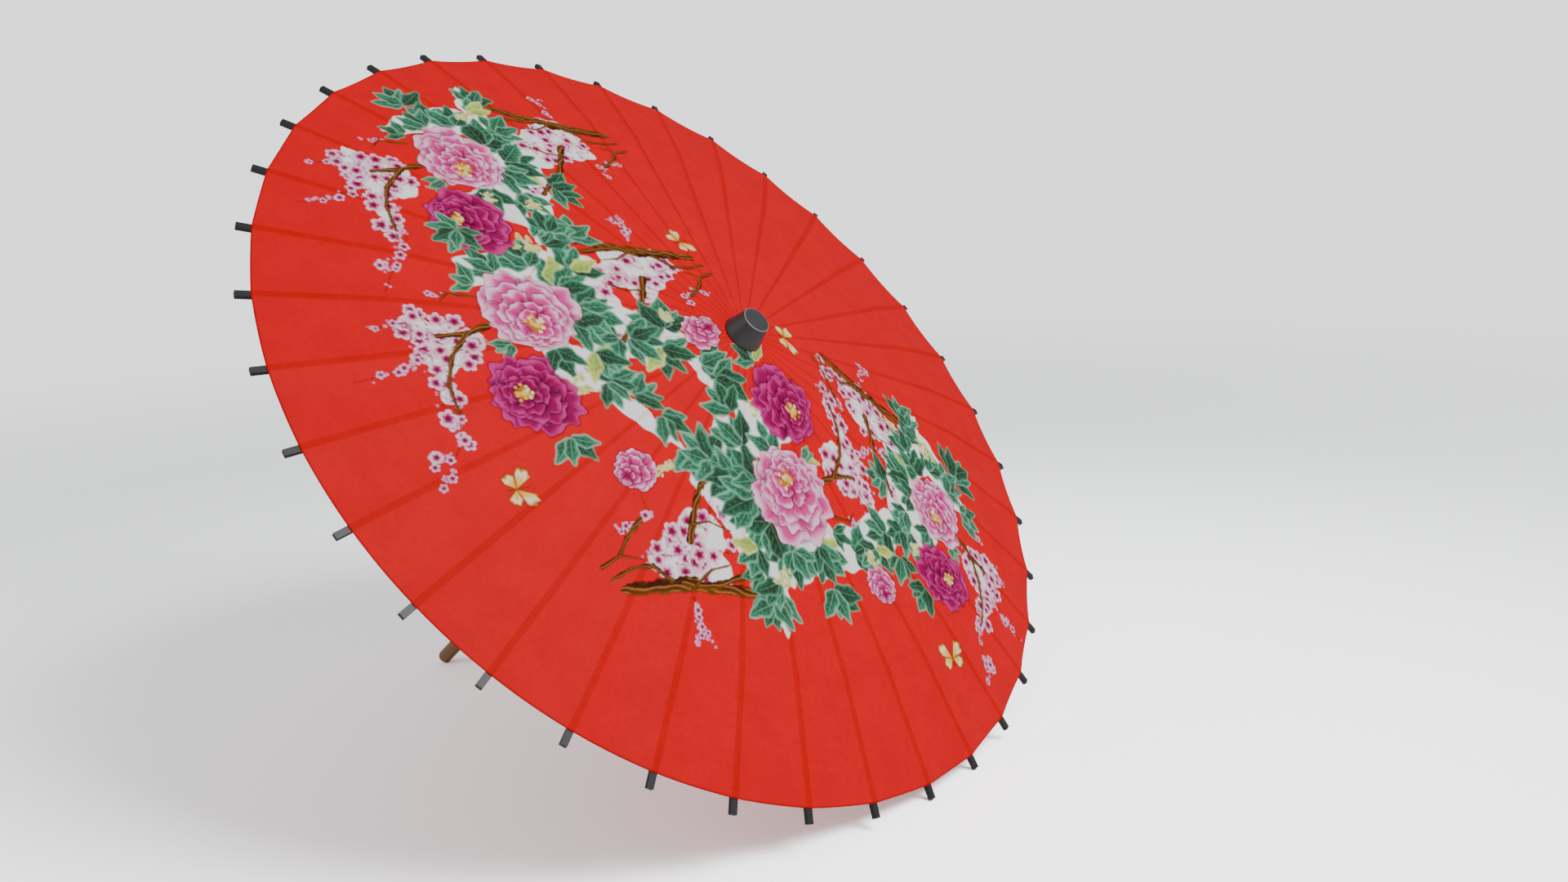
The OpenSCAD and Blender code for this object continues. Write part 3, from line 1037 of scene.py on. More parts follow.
class Finish:
    """What every finish shares: a material with a graph and an output."""

    def __init__(self, name: str) -> None:
        """Starts an empty material.

        Args:
            name: The material's name.
        """
        self.material = bpy.data.materials.new(name)
        self.material.use_nodes = True
        self.graph = Graph(self.material.node_tree)

    def close(self, shader: bpy.types.NodeSocket) -> bpy.types.Material:
        """Links the shader to the output.

        Args:
            shader: The surface's shader.

        Returns:
            The finished material.
        """
        self.graph.add("OutputMaterial", {"Surface": shader})
        return self.material

    def place(self, group: bpy.types.NodeTree, inputs: dict) -> bpy.types.Node:
        """Places a shared effect.

        Args:
            group: The effect's node group.
            inputs: Its inputs.

        Returns:
            The group node.
        """
        node = self.graph.tree.nodes.new("ShaderNodeGroup")
        node.node_tree = group
        for key, value in inputs.items():
            if isinstance(value, bpy.types.NodeSocket):
                self.graph.tree.links.new(value, node.inputs[key])
            else:
                node.inputs[key].default_value = value
        return node

    def bump(self, height: bpy.types.NodeSocket, strength: float, depth_mm: float) -> bpy.types.NodeSocket:
        """Adds a bump.

        Args:
            height: The height over the surface.
            strength: How strong it is.
            depth_mm: Its depth in millimetres.

        Returns:
            The bent normal.
        """
        inputs = {"Height": height, "Strength": strength, "Distance": depth_mm * MM}
        return self.graph.add("Bump", inputs).outputs[0]


@dataclass(frozen=True)
class PaperFinish:
    """Oiled paper, with its print, the darker lines over the ribs and a faint cloudiness."""

    RIB_TINT: ClassVar[tuple] = (0.84, 0.34, 0.30)
    RIM_TINT: ClassVar[tuple] = (0.35, 0.2, 0.2)

    name: str
    ground: tuple
    print_share: float
    band_share: float
    roughness: float
    glow: float

    def build(self, effects: SharedEffects) -> bpy.types.Material:
        """Builds the material.

        Args:
            effects: The shared node groups.

        Returns:
            The material.
        """
        finish = Finish(self.name)
        graph = finish.graph
        place = graph.add("TexCoord").outputs["Object"]
        uv = graph.add("SeparateXYZ", {0: graph.add("UVMap", uv_map="sheet").outputs[0]})
        off = graph.math("ABSOLUTE", graph.math("SUBTRACT", uv.outputs[0], 0.5))
        off = graph.math("MULTIPLY", off, SHEET_WIDE)
        radius = graph.math("MULTIPLY", uv.outputs[1], SHEET_LONG)
        half = graph.add("MapRange", {
            0: radius, "From Min": SIZES.rib_taper_r, "From Max": SIZES.bend_r,
            "To Min": SIZES.rib_root_w / 2, "To Max": SIZES.rib_tip_w / 2,
        }).outputs[0]
        band = graph.ramp(graph.math("SUBTRACT", off, half), 0.9, -0.6)
        mottle = finish.place(effects.mottle, {"Vector": place, "Cloud Scale": 34.0, "Speck Scale": 210.0})
        ground = graph.blend(mottle.outputs["Clouds"], shade(self.ground, 0.93), self.ground)
        specks = graph.math("MULTIPLY", mottle.outputs["Specks"], 0.22)
        ground = graph.blend(specks, ground, shade(self.ground, 0.80))
        paint = graph.add("VertexColor", layer_name="print")
        cover = graph.math("MULTIPLY", paint.outputs["Alpha"], self.print_share)
        colour = graph.blend(cover, ground, paint.outputs["Color"])
        bare = graph.math("SUBTRACT", 1.0, graph.math("MULTIPLY", cover, 0.7))
        line = graph.math("MULTIPLY", graph.math("MULTIPLY", band, self.band_share), bare)
        colour = graph.blend(line, colour, self.RIB_TINT, "MULTIPLY")
        rim = graph.ramp(radius, SIZES.paper_r - 1.8, SIZES.paper_r - 0.4)
        colour = graph.blend(graph.math("MULTIPLY", rim, 0.45), colour, self.RIM_TINT, "MULTIPLY")
        fibre = finish.place(effects.mottle, {"Vector": place, "Cloud Scale": 900.0, "Speck Scale": 2600.0})
        height = graph.math("ADD", fibre.outputs["Clouds"], graph.math("MULTIPLY", band, 0.6))
        rough = graph.add("MapRange", {
            0: fibre.outputs["Specks"], "To Min": self.roughness - 0.05, "To Max": self.roughness + 0.07,
        }).outputs[0]
        shader = graph.add("BsdfPrincipled", {
            "Base Color": colour, "Roughness": rough, "Specular IOR Level": 0.05,
            "Normal": finish.bump(height, 0.22, 0.12),
        })
        glow = graph.add("BsdfTranslucent", {"Color": colour})
        mixed = graph.add("MixShader", {0: self.glow, 1: shader.outputs[0], 2: glow.outputs[0]})
        return finish.close(mixed.outputs[0])


@dataclass(frozen=True)
class WoodFinish:
    """Wood or bamboo with its grain along one direction."""

    name: str
    dark: tuple
    light: tuple
    roughness: float
    scale: float = 260.0
    coat: float = 0.0
    depth_mm: float = 0.08

    def build(self, effects: SharedEffects, grain_turn: tuple) -> bpy.types.Material:
        """Builds the material.

        Args:
            effects: The shared node groups.
            grain_turn: The turn that takes the grain's direction to Z, in radians.

        Returns:
            The material.
        """
        finish = Finish(self.name)
        graph = finish.graph
        place = graph.add("TexCoord").outputs["Object"]
        turned = graph.add("Mapping", {"Vector": place, "Rotation": grain_turn}).outputs[0]
        grain = finish.place(effects.grain, {"Vector": turned, "Scale": self.scale})
        clouds = finish.place(effects.mottle, {"Vector": turned, "Cloud Scale": 18.0, "Speck Scale": 420.0})
        colour = graph.blend(grain.outputs["Streaks"], self.dark, self.light)
        colour = graph.blend(graph.math("MULTIPLY", grain.outputs["Pores"], 0.35), colour, self.dark)
        cloudy = graph.math("MULTIPLY", clouds.outputs["Clouds"], 0.25)
        colour = graph.blend(cloudy, colour, shade(self.dark, 0.82))
        rough = graph.add("MapRange", {
            0: grain.outputs["Pores"], "To Min": self.roughness - 0.07, "To Max": self.roughness + 0.1,
        }).outputs[0]
        shader = graph.add("BsdfPrincipled", {
            "Base Color": colour, "Roughness": rough, "Coat Weight": self.coat, "Coat Roughness": 0.2,
            "Normal": finish.bump(grain.outputs["Pores"], 0.35, self.depth_mm),
        })
        return finish.close(shader.outputs[0])


@dataclass(frozen=True)
class LacquerFinish:
    """A dark lacquer with faint clouds and a painted highlight along the edges that a mesh marks."""

    name: str
    base: tuple
    highlight_tone: tuple
    roughness: float

    def build(self, effects: SharedEffects) -> bpy.types.Material:
        """Builds the material.

        Args:
            effects: The shared node groups.

        Returns:
            The material.
        """
        finish = Finish(self.name)
        graph = finish.graph
        place = graph.add("TexCoord").outputs["Object"]
        mottle = finish.place(effects.mottle, {"Vector": place, "Cloud Scale": 60.0, "Speck Scale": 1500.0})
        # Painted highlight: the colour turns lighter where the mesh marks an edge, such as the cap's top
        # bevel
        edge = graph.add("Attribute", attribute_name="edge_highlight").outputs["Fac"]
        colour = graph.blend(mottle.outputs["Clouds"], shade(self.base, 0.82), self.base)
        colour = graph.blend(graph.math("MULTIPLY", edge, 0.8), colour, self.highlight_tone)
        rough = graph.add("MapRange", {
            0: mottle.outputs["Specks"], "To Min": self.roughness - 0.05, "To Max": self.roughness + 0.08,
        }).outputs[0]
        shader = graph.add("BsdfPrincipled", {
            "Base Color": colour, "Roughness": rough, "Coat Weight": 0.15, "Coat Roughness": 0.25,
            "Normal": finish.bump(mottle.outputs["Specks"], 0.25, 0.03),
        })
        return finish.close(shader.outputs[0])


@dataclass(frozen=True)
class ThreadFinish:
    """Twisted thread with fine turns along it."""

    name: str
    base: tuple

    def build(self, effects: SharedEffects) -> bpy.types.Material:
        """Builds the material.

        Args:
            effects: The shared node groups.

        Returns:
            The material.
        """
        finish = Finish(self.name)
        graph = finish.graph
        place = graph.add("TexCoord").outputs["Object"]
        wave = {"Vector": place, "Scale": 900.0, "Distortion": 1.5}
        turns = graph.add("TexWave", wave, bands_direction="DIAGONAL")
        spread = {"Vector": place, "Cloud Scale": 300.0, "Speck Scale": 3000.0}
        mottle = finish.place(effects.mottle, spread)
        cloudy = graph.math("MULTIPLY", mottle.outputs["Clouds"], 0.3)
        colour = graph.blend(turns.outputs["Fac"], shade(self.base, 0.55), self.base)
        colour = graph.blend(cloudy, colour, shade(self.base, 0.7))
        shader = graph.add("BsdfPrincipled", {
            "Base Color": colour, "Roughness": 0.75, "Sheen Weight": 0.3,
            "Normal": finish.bump(turns.outputs["Fac"], 0.5, 0.1),
        })
        return finish.close(shader.outputs[0])


@dataclass(frozen=True)
class BrassFinish:
    """Drawn brass wire, a little dulled."""

    name: str = "brass_wire_finish"
    base: tuple = linear(196, 158, 84)

    def build(self, effects: SharedEffects) -> bpy.types.Material:
        """Builds the material.

        Args:
            effects: The shared node groups.

        Returns:
            The material.
        """
        finish = Finish(self.name)
        graph = finish.graph
        place = graph.add("TexCoord").outputs["Object"]
        spread = {"Vector": place, "Cloud Scale": 240.0, "Speck Scale": 2200.0}
        mottle = finish.place(effects.mottle, spread)
        colour = graph.blend(mottle.outputs["Clouds"], shade(self.base, 0.6), self.base)
        ends = {0: mottle.outputs["Specks"], "To Min": 0.25, "To Max": 0.5}
        rough = graph.add("MapRange", ends).outputs[0]
        shader = graph.add("BsdfPrincipled", {
            "Base Color": colour, "Roughness": rough, "Metallic": 1.0,
            "Normal": finish.bump(mottle.outputs["Specks"], 0.2, 0.02),
        })
        return finish.close(shader.outputs[0])


class FinishRack:
    """Every finish of the umbrella, built once."""

    def __init__(self, axes: UmbrellaAxes) -> None:
        """Builds the finishes.

        Args:
            axes: The umbrella's own frame, for the direction of the grain.
        """
        effects = SharedEffects()
        along_pole = tuple(axes.turn.inverted().to_euler())
        self.paper = PaperFinish(
            "oiled_paper_front", linear(230, 4, 24),
            print_share=0.97, band_share=0.85, roughness=0.55, glow=0.10,
        ).build(effects)
        self.lining = PaperFinish(
            "oiled_paper_back", linear(212, 8, 16),
            print_share=0.16, band_share=0.25, roughness=0.6, glow=0.22,
        ).build(effects)
        self.pole = WoodFinish(
            "pole_wood_finish", linear(150, 106, 66), linear(206, 166, 118), 0.42, 230.0, 0.15
        ).build(effects, along_pole)
        self.turned = WoodFinish(
            "turned_wood_finish", linear(112, 70, 38), linear(172, 122, 76), 0.4, 300.0, 0.2
        ).build(effects, along_pole)
        self.bamboo = WoodFinish(
            "bare_bamboo_finish", linear(176, 132, 80), linear(222, 186, 132), 0.45, 420.0, 0.1
        ).build(effects, (0.0, 0.0, 0.0))
        self.pin = WoodFinish(
            "bamboo_pin_finish", linear(158, 116, 64), linear(208, 170, 112), 0.5, 500.0
        ).build(effects, along_pole)
        # The second colour of each lacquer is a painted highlight on marked edges; only the cap marks any
        self.cap = LacquerFinish(
            "cap_lacquer_finish", linear(56, 56, 59), linear(150, 151, 154), 0.42
        ).build(effects)
        self.rib = LacquerFinish(
            "rib_lacquer_finish", linear(24, 24, 26), linear(70, 70, 72), 0.5
        ).build(effects)
        self.red_thread = ThreadFinish("red_thread_finish", linear(140, 16, 18)).build(effects)
        self.green_thread = ThreadFinish("green_thread_finish", linear(36, 118, 84)).build(effects)
        self.brass = BrassFinish().build(effects)


# ---------------------------------------------------------------- pieces


def hang(
    bm: bmesh.types.BMesh, name: str, materials: list, smooth_deg: float = SHARP_DEG
) -> bpy.types.Object:
    """Turns a bmesh into an object at the origin.

    Args:
        bm: The bmesh, in the row frame.
        name: The piece's name.
        materials: Its materials, in slot order.
        smooth_deg: Edges sharper than this stay sharp.

    Returns:
        The object.
    """
    mesh = bpy.data.meshes.new(name)
    for face in bm.faces:
        face.smooth = True
    bm.to_mesh(mesh)
    bm.free()
    for material in materials:
        mesh.materials.append(material)
    mesh.set_sharp_from_angle(angle=math.radians(smooth_deg))
    piece = bpy.data.objects.new(name, mesh)
    bpy.context.scene.collection.objects.link(piece)
    return piece


def lathe(bm: bmesh.types.BMesh, profile: list, steps: int) -> None:
    """Turns a profile about Z into a closed shell.

    Args:
        bm: The bmesh that takes the shell.
        profile: Points of radius and height, from the axis to the axis.
        steps: How many steps go round.
    """
    verts = [bm.verts.new((r, 0, z)) for r, z in profile]
    edges = [bm.edges.new(pair) for pair in zip(verts[:-1], verts[1:])]
    bmesh.ops.spin(
        bm, geom=verts + edges, cent=(0, 0, 0), axis=(0, 0, 1), angle=math.tau,
        steps=steps, use_merge=True,
    )
    bmesh.ops.remove_doubles(bm, verts=bm.verts, dist=1e-4)
    bmesh.ops.recalc_face_normals(bm, faces=bm.faces)


def sweep_thread(bm: bmesh.types.BMesh, r: float, z: float, steps: int) -> None:
    """Sweeps a length of thread from midway before a rib at angle 0 to midway after it.

    Args:
        bm: The bmesh that takes the thread.
        r: The thread's distance from the pole's axis.
        z: Its height.
        steps: How many steps the length has.
    """
    ring = bmesh.ops.create_circle(bm, radius=SIZES.thread_r, segments=6)["verts"]
    stand = Matrix.Translation((r, 0, z)) @ Matrix.Rotation(math.pi / 2, 4, "X")
    bmesh.ops.transform(bm, matrix=stand, verts=ring)
    start = Matrix.Rotation(-SIZES.step / 2, 3, "Z")
    bmesh.ops.rotate(bm, verts=ring, matrix=start, cent=(0, 0, 0))
    edges = [edge for edge in bm.edges if edge.verts[0] in ring]
    bmesh.ops.spin(
        bm, geom=ring + edges, cent=(0, 0, 0), axis=(0, 0, 1), angle=SIZES.step, steps=steps,
    )


@dataclass
class PaintedCanopy:
    """The oiled paper: a strip on each rib, and a small ring under the cap."""

    axes: UmbrellaAxes
    rack: FinishRack
    painting: CanopyPainting
    inner_r: float = 18.0
    hole_r: float = 9.3
    columns: int = 18
    rows: int = 98
    finer: int = 3
    wide_cell: float = 1.7
    block: int = 8
    ring_sides: int = 72
    keep: float = 0.10

    @property
    def length(self) -> float:
        """The length of a strip, seen along the pole."""
        return SIZES.paper_r - self.inner_r

    def radius(self, y: np.ndarray) -> np.ndarray:
        """The distance from the pole's axis of a y of the flat grid, which runs from -1 to 1."""
        return self.inner_r + (y + 1) / 2 * self.length

    def build(self) -> None:
        """Makes every strip and the ring."""
        busy = self.painting.board.busy(self.block)
        for index in range(SIZES.rib_count):
            self.strip(index, busy)
        self.crown()

    def shape(self, across: np.ndarray, r: np.ndarray, angle: float) -> np.ndarray:
        """Lays the flat grid of a strip over its rib.

        Args:
            across: From -1 at one edge of the strip to 1 at the other.
            r: Distances from the pole's axis along the rib.
            angle: The rib's angle.

        Returns:
            Points in the umbrella's own frame.
        """
        half_step = SIZES.step / 2
        turn = half_step * across
        out = r * math.cos(half_step) / np.cos(half_step - np.abs(turn))
        theta = angle + turn
        height = SIZES.paper_height(r) - SIZES.paper_sag(across, r)
        return np.stack([out * np.cos(theta), out * np.sin(theta), height], axis=1)

    def strip(self, index: int, busy: np.ndarray) -> None:
        """Makes the paper of one rib, finer where it is painted.

        Args:
            index: The rib's number, from 0.
            busy: The blocks of the board that hold paint.
        """
        angle = rib_angle(index)
        bm = bmesh.new()
        bmesh.ops.create_grid(bm, x_segments=self.columns, y_segments=self.rows, size=1.0)
        self.refine(bm, angle, busy)
        self.thicken(bm)
        piece = hang(bm, f"paper_{index + 1:02d}", [self.rack.paper, self.rack.lining])
        self.fit(piece.data, angle)
        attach(piece, rib_name(index))
        self.axes.direction(-math.sin(angle), math.cos(angle), 0)
        self.axes.point(0, 0, 0)
        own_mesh(piece)
        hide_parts("canopy")
        LOG.info("%s: %d faces", piece.name, len(piece.data.polygons))

    def refine(self, bm: bmesh.types.BMesh, angle: float, busy: np.ndarray) -> None:
        """Divides the cells of a flat grid that will lie on paint.

        Args:
            bm: The flat grid.
            angle: The rib's angle.
            busy: The blocks of the board that hold paint.
        """
        half, last = self.painting.board.half, busy.shape[0] - 1
        for face in bm.faces:
            middle = face.calc_center_median()
            r, theta = self.radius(middle.y), angle - middle.x * SIZES.step / 2
            col, row = (
                min(int((r * share + half) * busy.shape[0] / (2 * half)), last)
                for share in (math.cos(theta), math.sin(theta))
            )
            face.tag = bool(busy[row, col])
        edges = []
        for edge in bm.edges:
            first, second = (vert.co for vert in edge.verts)
            wide = self.radius(first.y) * SIZES.step / self.columns > self.wide_cell
            if any(face.tag for face in edge.link_faces) and (first.y != second.y or wide):
                edges.append(edge)
        if edges:
            bmesh.ops.subdivide_edges(bm, edges=edges, cuts=self.finer, use_grid_fill=True)

    def fit(self, mesh: bpy.types.Mesh, angle: float) -> None:
        """Lays the flat mesh of a strip over its rib and gives it its print.

        Args:
            mesh: The strip's mesh.
            angle: The rib's angle.
        """
        flat = np.empty(len(mesh.vertices) * 3)
        mesh.vertices.foreach_get("co", flat)
        flat = flat.reshape(-1, 3)
        across, r = -flat[:, 0], self.radius(flat[:, 1])
        points = self.shape(across, r, angle)
        depth = SIZES.paper_t / math.cos(math.radians(SIZES.crown_slope))
        points[:, 2] += np.minimum(flat[:, 2], 0) * depth
        mesh.vertices.foreach_set("co", self.axes.place(points).ravel())
        self.print_on(mesh, points, across, r)
        mesh.update()
        mesh.set_sharp_from_angle(angle=math.radians(SHARP_DEG))

    def thicken(self, bm: bmesh.types.BMesh) -> None:
        """Gives a flat grid an underside one unit below it, with the lining's material.

        Args:
            bm: The flat grid, facing up.
        """
        bmesh.ops.solidify(bm, geom=bm.faces[:], thickness=1.0)
        top = max(vert.co.z for vert in bm.verts)
        bmesh.ops.translate(bm, verts=bm.verts, vec=(0, 0, -top))
        bmesh.ops.recalc_face_normals(bm, faces=bm.faces)
        for face in bm.faces:
            face.material_index = int(face.normal.z < 0.5)

    def print_on(
        self, mesh: bpy.types.Mesh, points: np.ndarray, across: np.ndarray, r: np.ndarray
    ) -> None:
        """Gives a strip its print and the map that the line over its rib follows.

        Args:
            mesh: The strip's mesh.
            points: Its points in the umbrella's own frame.
            across: Each point's place across the strip.
            r: Each point's distance along the rib.
        """
        colour, cover = self.painting.board.sample(points[:, 0], points[:, 1])
        layer = mesh.color_attributes.new("print", "FLOAT_COLOR", "POINT")
        layer.data.foreach_set("color", np.column_stack([colour, cover]).astype(np.float32).ravel())
        corners = np.empty(len(mesh.loops), int)
        mesh.loops.foreach_get("vertex_index", corners)
        offset = across * r * math.tan(SIZES.step / 2)
        sheet = np.column_stack([0.5 + offset / SHEET_WIDE, r / SHEET_LONG])
        mesh.uv_layers.new(name="sheet").data.foreach_set("uv", sheet[corners].ravel())

    def crown(self) -> None:
        """Makes the ring of paper under the cap."""
        bm = bmesh.new()
        inner, outer = (
            bmesh.ops.create_circle(bm, radius=r, segments=self.ring_sides)["verts"]
            for r in (self.hole_r, self.inner_r)
        )
        bmesh.ops.bridge_loops(bm, edges=bm.edges[:])
        for verts, r in ((inner, self.hole_r), (outer, self.inner_r)):
            for vert in verts:
                vert.co.z = float(SIZES.paper_height(np.array(r)))
        bmesh.ops.recalc_face_normals(bm, faces=bm.faces)
        if sum(face.normal.z for face in bm.faces) < 0:
            bmesh.ops.reverse_faces(bm, faces=bm.faces)
        bmesh.ops.solidify(bm, geom=bm.faces[:], thickness=SIZES.paper_t)
        bmesh.ops.recalc_face_normals(bm, faces=bm.faces)
        for face in bm.faces:
            face.material_index = int(face.normal.z < 0.5)
        bmesh.ops.transform(bm, matrix=self.axes.matrix, verts=bm.verts)
        piece = hang(bm, "paper_crown", [self.rack.paper, self.rack.lining])
        mesh = piece.data
        mesh.color_attributes.new("print", "FLOAT_COLOR", "POINT")
        for bare in mesh.color_attributes["print"].data:
            bare.color = (0.5, 0.0, 0.0, 0.0)
        mesh.uv_layers.new(name="sheet")
        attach(piece, "frame")


@dataclass
class RimThread:
    """The thread through the ribs' ends, a length on each rib."""

    axes: UmbrellaAxes
    rack: FinishRack
    depth_share: float = 0.55
    knot_r: float = 0.75
    knot_gap: float = 0.4
    arc_steps: int = 6
    keep: float = 0.085

    def build(self) -> None:
        """Makes the length of thread of each rib, with its knot."""
        for index in range(SIZES.rib_count):
            self.piece_of_thread(index)
        LOG.info("rim thread: %d lengths", SIZES.rib_count)

    def piece_of_thread(self, index: int) -> None:
        """Makes the length of thread of one rib.

        Args:
            index: The rib's number, from 0.
        """
        z = float(SIZES.paper_height(np.array(SIZES.rim_thread_r)))
        z -= SIZES.rib_top_drop + SIZES.rib_h * self.depth_share
        bm = bmesh.new()
        sweep_thread(bm, SIZES.rim_thread_r, z, self.arc_steps)
        self.hang_down(bm)
        knot = Matrix.Translation((SIZES.rim_thread_r, SIZES.rib_tip_w / 2 + self.knot_gap, z))
        bmesh.ops.create_icosphere(bm, subdivisions=1, radius=self.knot_r, matrix=knot)
        angle = rib_angle(index)
        turn = Matrix.Rotation(angle, 3, "Z")
        bmesh.ops.rotate(bm, verts=bm.verts, matrix=turn, cent=(0, 0, 0))
        bmesh.ops.recalc_face_normals(bm, faces=bm.faces)
        bmesh.ops.transform(bm, matrix=self.axes.matrix, verts=bm.verts)
        piece = hang(bm, f"rim_thread_{index + 1:02d}", [self.rack.red_thread])
        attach(piece, rib_name(index))
        self.axes.direction(-math.sin(angle), math.cos(angle), 0)
        self.axes.point(0, 0, 0)
        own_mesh(piece)
        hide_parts("rim_thread")

    def hang_down(self, bm: bmesh.types.BMesh) -> None:
        """Draws a length of thread straight between its ribs and lets it hang with the paper.

        Args:
            bm: The length of thread, with its rib at angle 0.
        """
        half_step = SIZES.step / 2
        for vert in bm.verts:
            turn = math.atan2(vert.co.y, vert.co.x)
            pull = math.cos(half_step) / math.cos(half_step - abs(turn))
            across, r = np.array(turn / half_step), np.array(SIZES.rim_thread_r)
            vert.co.x, vert.co.y = vert.co.x * pull, vert.co.y * pull
            vert.co.z -= float(SIZES.paper_sag(across, r))


@dataclass
class StretcherSet:
    """The bamboo stretchers, each with its pin, its wrap and its length of green thread."""

    axes: UmbrellaAxes
    rack: FinishRack
    root_w: float = 1.5
    tip_w: float = 2.0
    height: float = 3.0
    edge_bevel: float = 0.35
    cuts: int = 7
    pin_r: float = 0.6
    pin_gap: float = 0.2
    wrap_turns: tuple = (-1.1, 0.0, 1.1)
    wrap_wide: float = 0.8
    wrap_over: float = 0.35
    arc_steps: int = 3
    keep: float = 0.08

    def build(self) -> None:
        """Makes every stretcher."""
        for index in range(SIZES.rib_count):
            self.stretcher(index)
        LOG.info("stretchers: %d", SIZES.rib_count)

    def stretcher(self, index: int) -> None:
        """Makes one stretcher.

        Args:
            index: The rib's number, from 0.
        """
        run = SIZES.joint_r - SIZES.runner_wire_r
        rise = SIZES.runner_wire_drop - SIZES.joint_drop
        length, lean = math.hypot(run, rise), math.atan2(rise, run)
        bm = bmesh.new()
        self.strut(bm, length)
        quarter = Matrix.Rotation(math.pi / 2, 4, "X")
        for x, wide in ((0, self.root_w), (length, self.tip_w)):
            self.bar(bm, Matrix.Translation((x, 0, 0)) @ quarter, self.height / 2, wide, 14, 0)
        pin_w = float(SIZES.rib_width(np.array(SIZES.joint_r))) - self.pin_gap
        self.bar(bm, Matrix.Translation((length, 0, 0)) @ quarter, self.pin_r, pin_w, 10, 1)
        along = SIZES.mid_thread_share * length
        upright = Matrix.Rotation(math.pi / 2, 4, "Y")
        for shift in self.wrap_turns:
            place = Matrix.Translation((along + shift, 0, 0)) @ upright
            self.bar(bm, place, self.height / 2 + self.wrap_over, self.wrap_wide, 10, 2)
        tilt, turn = Matrix.Rotation(-lean, 3, "Y"), Matrix.Rotation(rib_angle(index), 3, "Z")
        root = (SIZES.runner_wire_r, 0, -SIZES.runner_wire_drop)
        bmesh.ops.rotate(bm, verts=bm.verts, cent=(0, 0, 0), matrix=tilt)
        bmesh.ops.translate(bm, verts=bm.verts, vec=root)
        self.thread(bm, along, lean)
        bmesh.ops.rotate(bm, verts=bm.verts, cent=(0, 0, 0), matrix=turn)
        bmesh.ops.transform(bm, matrix=self.axes.matrix, verts=bm.verts)
        materials = [self.rack.bamboo, self.rack.pin, self.rack.green_thread]
        piece = hang(bm, f"stretcher_{index + 1:02d}", materials)
        angle = rib_angle(index)
        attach(piece, "runner")
        self.axes.direction(math.cos(angle), math.sin(angle), 0)
        self.axes.point(
                SIZES.runner_wire_r * math.cos(angle), SIZES.runner_wire_r * math.sin(angle), 0
            )
        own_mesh(piece)
        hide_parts("stretchers", "stretcher_pins", "stretcher_thread")

    def strut(self, bm: bmesh.types.BMesh, length: float) -> None:
        """Adds the flat strut along X, narrower in its first half, with eased long edges.

        Args:
            bm: The empty bmesh that takes it.
            length: Its length.
        """
        bmesh.ops.create_cube(bm, size=1.0)
        bmesh.ops.scale(bm, vec=(length, self.tip_w, self.height), verts=bm.verts)
        bmesh.ops.translate(bm, vec=(length / 2, 0, 0), verts=bm.verts)
        long_edges = [e for e in bm.edges if abs((e.verts[0].co - e.verts[1].co).x) > length / 2]
        bmesh.ops.subdivide_edges(bm, edges=long_edges, cuts=self.cuts)
        for vert in bm.verts:
            share = min(vert.co.x / (length / 2), 1)
            vert.co.y *= (self.root_w + (self.tip_w - self.root_w) * share) / self.tip_w
        eased = []
        for edge in bm.edges:
            along = abs((edge.verts[0].co - edge.verts[1].co).x) > length / 2 / (self.cuts + 1)
            if along and len(edge.link_faces) == 2 and edge.calc_face_angle() > 1:
                eased.append(edge)
        bmesh.ops.bevel(
            bm, geom=eased, offset=self.edge_bevel, segments=1, affect="EDGES", profile=0.5,
            material=-1,
        )

    def bar(
        self, bm: bmesh.types.BMesh, matrix: Matrix, radius: float, long: float, sides: int, slot: int
    ) -> None:
        """Adds a round bar.

        Args:
            bm: The bmesh that takes it.
            matrix: Its place and turn.
            radius: Its radius.
            long: Its length.
            sides: How many sides it has.
            slot: Its material slot.
        """
        made = bmesh.ops.create_cone(
            bm, cap_ends=True, segments=sides, radius1=radius, radius2=radius, depth=long, matrix=matrix
        )
        for face in {face for vert in made["verts"] for face in vert.link_faces}:
            face.material_index = slot

    def thread(self, bm: bmesh.types.BMesh, along: float, lean: float) -> None:
        """Adds the length of green thread through the stretcher.

        Args:
            bm: The bmesh that takes it.
            along: Its distance along the stretcher.
            lean: The stretcher's rise, in radians.
        """
        r = SIZES.runner_wire_r + along * math.cos(lean)
        z = along * math.sin(lean) - SIZES.runner_wire_drop
        before = set(bm.faces)
        sweep_thread(bm, r, z, self.arc_steps)
        new = [face for face in bm.faces if face not in before]
        for face in new:
            face.material_index = 2
        bmesh.ops.recalc_face_normals(bm, faces=new)


